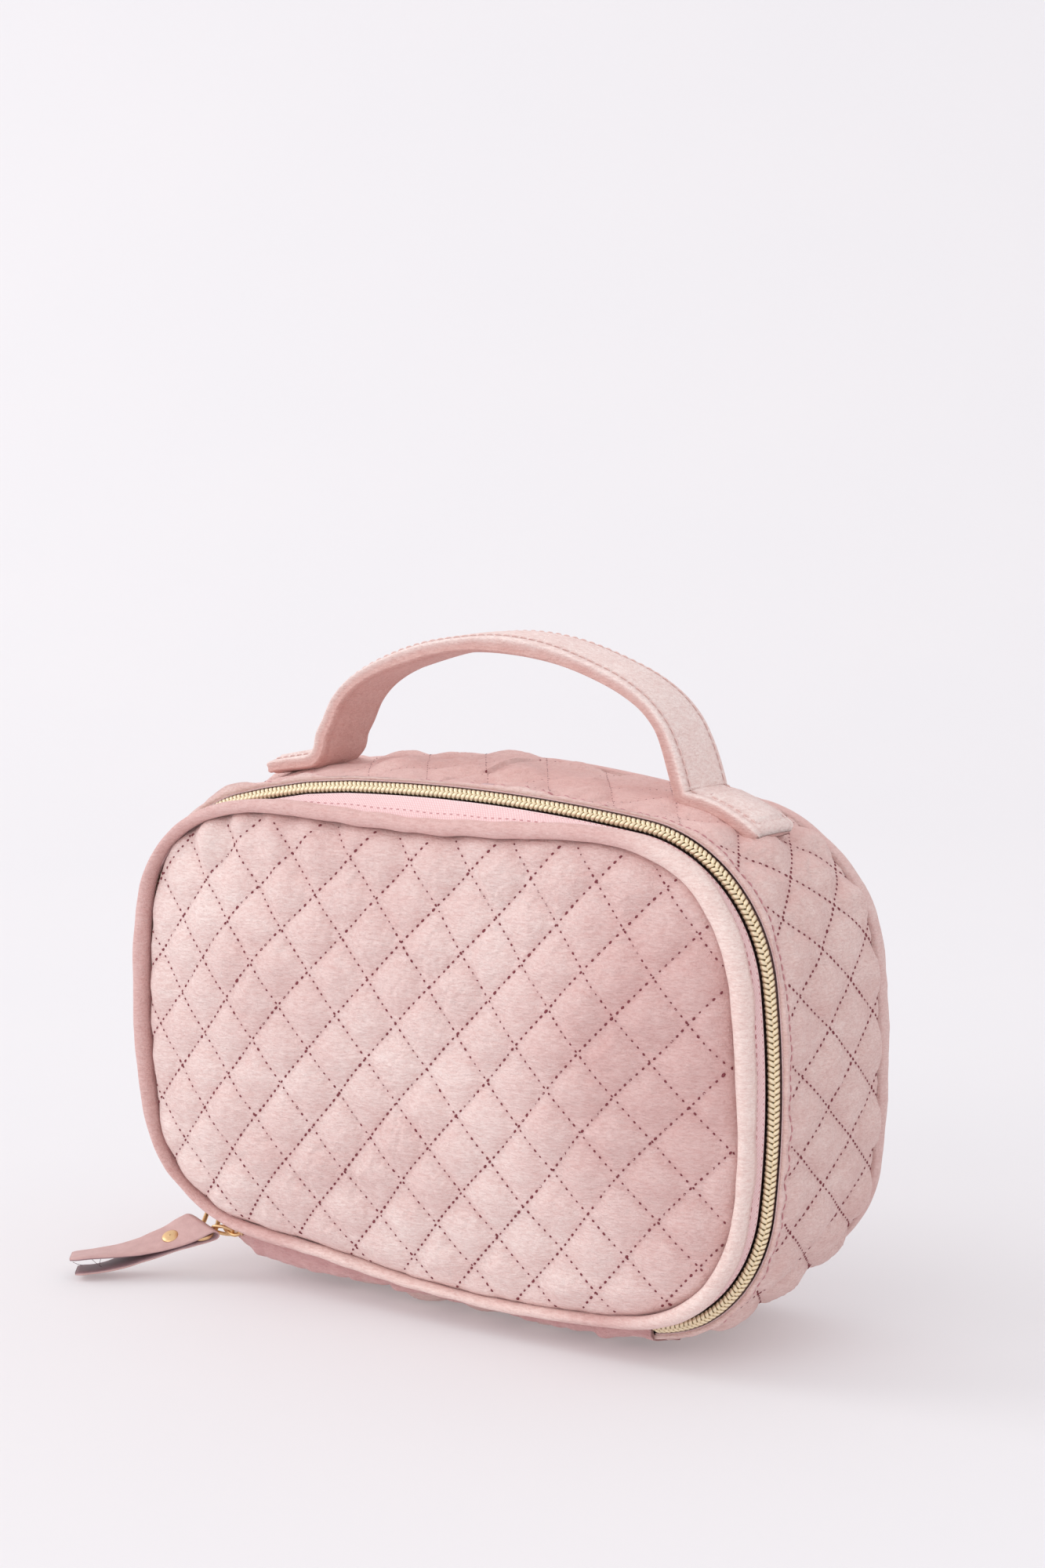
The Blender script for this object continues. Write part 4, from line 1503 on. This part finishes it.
def gold(name, col, rough, var=0.25, metal=0.85):
    m = Mat(name)
    nz = m.noise(380, 3, 0.6)
    c = m.mix(nz, col, tuple(v * (1 - var) for v in col[:3]) + (1,))
    m.link(c, m.b.inputs["Base Color"])
    m.b.inputs["Metallic"].default_value = metal
    m.link(m.ramp(m.noise(220, 2, 0.5), [(0.3, rough), (0.75, rough + 0.16)]), m.b.inputs["Roughness"])
    m.link(m.bump(nz, 0.15, 0.00005), m.b.inputs["Normal"])
    return m.m


m_coil = gold("coil_gold", lin(250, 233, 200), 0.36, 0.14, 0.6)
m_cord = gold("coil_cord_shadow", lin(176, 148, 104), 0.6, 0.3, 0.3)
m_metal = gold("rose_gold_metal", lin(240, 200, 150), 0.24, 0.2)


def leather_mat():
    m = Mat("pull_leather_pink")
    vor = m.n("ShaderNodeTexVoronoi")
    vor.inputs["Scale"].default_value = 1500
    m.link(m.coords(), vor.inputs["Vector"])
    nz = m.noise(300, 4, 0.6)
    c = m.mix(nz, lin(214, 178, 174), lin(184, 144, 141))
    c = m.mix(m.math("MULTIPLY", m.attr("suede"), 0.85), c, m.mix(m.noise(1400, 3, 0.7), lin(150, 116, 122), lin(104, 78, 86)))
    m.link(c, m.b.inputs["Base Color"])
    m.b.inputs["Roughness"].default_value = 0.5
    m.b.inputs["Specular IOR Level"].default_value = 0.4
    m.link(m.bump(m.math("ADD", vor.outputs["Distance"], nz), 0.35, 0.0001), m.b.inputs["Normal"])
    return m.m


m_leather = leather_mat()


def put(ob, mat, body=None, rep=()):
    ob.data.materials.clear()
    ob.data.materials.append(mat)
    if rep:
        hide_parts(*rep)
    if body:
        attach(ob, body)
    return ob


put(lid_quilt, m_velvet, "lid", ("lid_velvet", "lid_wadding"))
put(lid_holes, m_hole, "lid")
put(lid_piping, m_piping, "lid", ("lid_piping", "lid_piping_cord"))
put(lid_tape, m_tape, "lid", ("lid_zip_tape",))
put(coil_lid, m_coil, "lid", ("lid_zip_coil",))
put(tape_stitch, m_thread, "lid")
put(coil_stitch_l, m_thread, "lid")
put(core_lid, m_cord, "lid")
put(core_body, m_cord, "body")
put(lin_lid, m_lining, "lid", ("lid_lining",))
put(bind_lid, m_binding, "lid", ("lid_seam_binding",))
put(body_tape, m_tape, "body", ("body_zip_tape",))
put(coil_body, m_coil, "body", ("body_zip_coil",))
put(gusset, m_gusset, "body", ("gusset_velvet", "gusset_wadding"))
put(gusset_dots, m_hole, "body")
put(gusset_topstitch, m_thread, "body")
put(back_quilt, m_gusset, "body", ("back_velvet", "back_wadding"))
put(back_dots, m_hole, "body")
put(lin_body, m_lining, "body", ("gusset_lining", "back_lining"))
put(bind_back, m_binding, "body", ("back_seam_binding",))
put(hinge, m_hinge, None, ("hinge_strip", "hinge_lining"))
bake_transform(hinge)
put(handle, m_handle, None, ("handle_strap", "handle_core", "handle_tab_left", "handle_tab_right"))
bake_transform(handle)
put(handle_stitch, m_thread_l, None)
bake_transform(handle_stitch)
put(tab_stitch, m_thread_l, "body", ("handle_box_stitches",))
put(leather, m_leather, "pull", ("pull_strap",))
put(rivet_f, m_metal, "pull", ("rivet_cap",))
put(rivet_b, m_metal, "pull", ("rivet_post",))
put(ring_w, m_metal, "ring", ("pull_ring",))
put(link_w, m_metal, "link", ("puller_link",))
put(slider_top, m_metal, "slider", ("slider_body",))
put(slider_low, m_metal, "slider")
put(bridge, m_metal, "slider")
put(post_, m_metal, "slider")
for k_, c_ in enumerate(fib):
    put(tube("pull_fibre_%d" % k_, c_, 0.07, sides=5, up=np.array([0.3, 0.9, 0.2])), m_fibre, "pull")

# ------------------------------------------------------------------ stage, light, camera
nx, ny = 40, 60
prof = []
for t in np.linspace(0, 1, ny):
    L_ = 4200 * t
    if L_ < 1900:
        prof.append((-900 + L_, 0.0))
    elif L_ < 1900 + 900 * pi / 2:
        b_ = (L_ - 1900) / 900
        prof.append((1000 + 900 * math.sin(b_), 900 - 900 * math.cos(b_)))
    else:
        prof.append((1900, 900 + L_ - 1900 - 900 * pi / 2))
prof = np.array(prof)
ex = np.linspace(-2600, 2600, nx)
az = math.radians(35.9)
fwd = np.array([-math.sin(az), math.cos(az)])
rgt = np.array([math.cos(az), math.sin(az)])
FG = np.zeros((ny, nx, 3))
for k in range(nx):
    FG[:, k, 0] = rgt[0] * ex[k] + fwd[0] * prof[:, 0]
    FG[:, k, 1] = rgt[1] * ex[k] + fwd[1] * prof[:, 0]
    FG[:, k, 2] = prof[:, 1]
floor = grid("floor", FG, flip=False)
m_floor = Mat("floor_paper")
nzf = m_floor.noise(6, 3, 0.5)
m_floor.link(m_floor.mix(nzf, lin(213, 210, 212), lin(210, 208, 211)), m_floor.b.inputs["Base Color"])
m_floor.b.inputs["Emission Color"].default_value = (1.0, 0.985, 1.0, 1)
m_floor.b.inputs["Emission Strength"].default_value = 0.19
m_floor.b.inputs["Roughness"].default_value = 0.75
m_floor.b.inputs["Specular IOR Level"].default_value = 0.2
floor.data.materials.append(m_floor.m)

w = bpy.data.worlds.new("studio")
bpy.context.scene.world = w
w.use_nodes = True
bg = w.node_tree.nodes["Background"]
bg.inputs[0].default_value = (0.985, 0.98, 1.0, 1)
bg.inputs[1].default_value = 0.93


def area(name, loc, target, size, power, col=(1, 1, 1)):
    d = bpy.data.lights.new(name, "AREA")
    d.shape = "RECTANGLE"
    d.size, d.size_y = size
    d.energy = power
    d.color = col
    o = bpy.data.objects.new(name, d)
    bpy.context.scene.collection.objects.link(o)
    o.location = loc
    o.rotation_euler = (Vector(target) - Vector(loc)).to_track_quat("-Z", "Y").to_euler()
    return o


area("key", (-2.7, -1.3, 2.1), (0, 0, 0.08), (1.8, 1.8), 30, (1.0, 0.99, 0.975))
area("front", (-0.4, -3.6, 1.7), (0, 0, 0.08), (2.6, 2.2), 26, (1.0, 0.99, 0.98))

cam_d = bpy.data.cameras.new("camera")
cam_d.sensor_fit = "VERTICAL"
cam_d.sensor_height = 36.0
cam_d.sensor_width = 24.0
cam_d.lens = 72.0
cam_d.clip_start, cam_d.clip_end = 0.05, 50
cam = bpy.data.objects.new("camera", cam_d)
bpy.context.scene.collection.objects.link(cam)
a_, e_ = math.radians(35.9), math.radians(6.8)
Bv = Vector((math.sin(a_) * math.cos(e_), -math.cos(a_) * math.cos(e_), math.sin(e_)))
Rv = Vector((math.cos(a_), math.sin(a_), 0))
Uc = Bv.cross(Rv)
cam.matrix_world = Matrix(((Rv[0], Uc[0], Bv[0], 0.53463), (Rv[1], Uc[1], Bv[1], -0.72867), (Rv[2], Uc[2], Bv[2], 0.25853), (0, 0, 0, 1)))
bpy.context.scene.camera = cam
bpy.context.scene.view_settings.view_transform = "Standard"
bpy.context.scene.view_settings.look = "None"
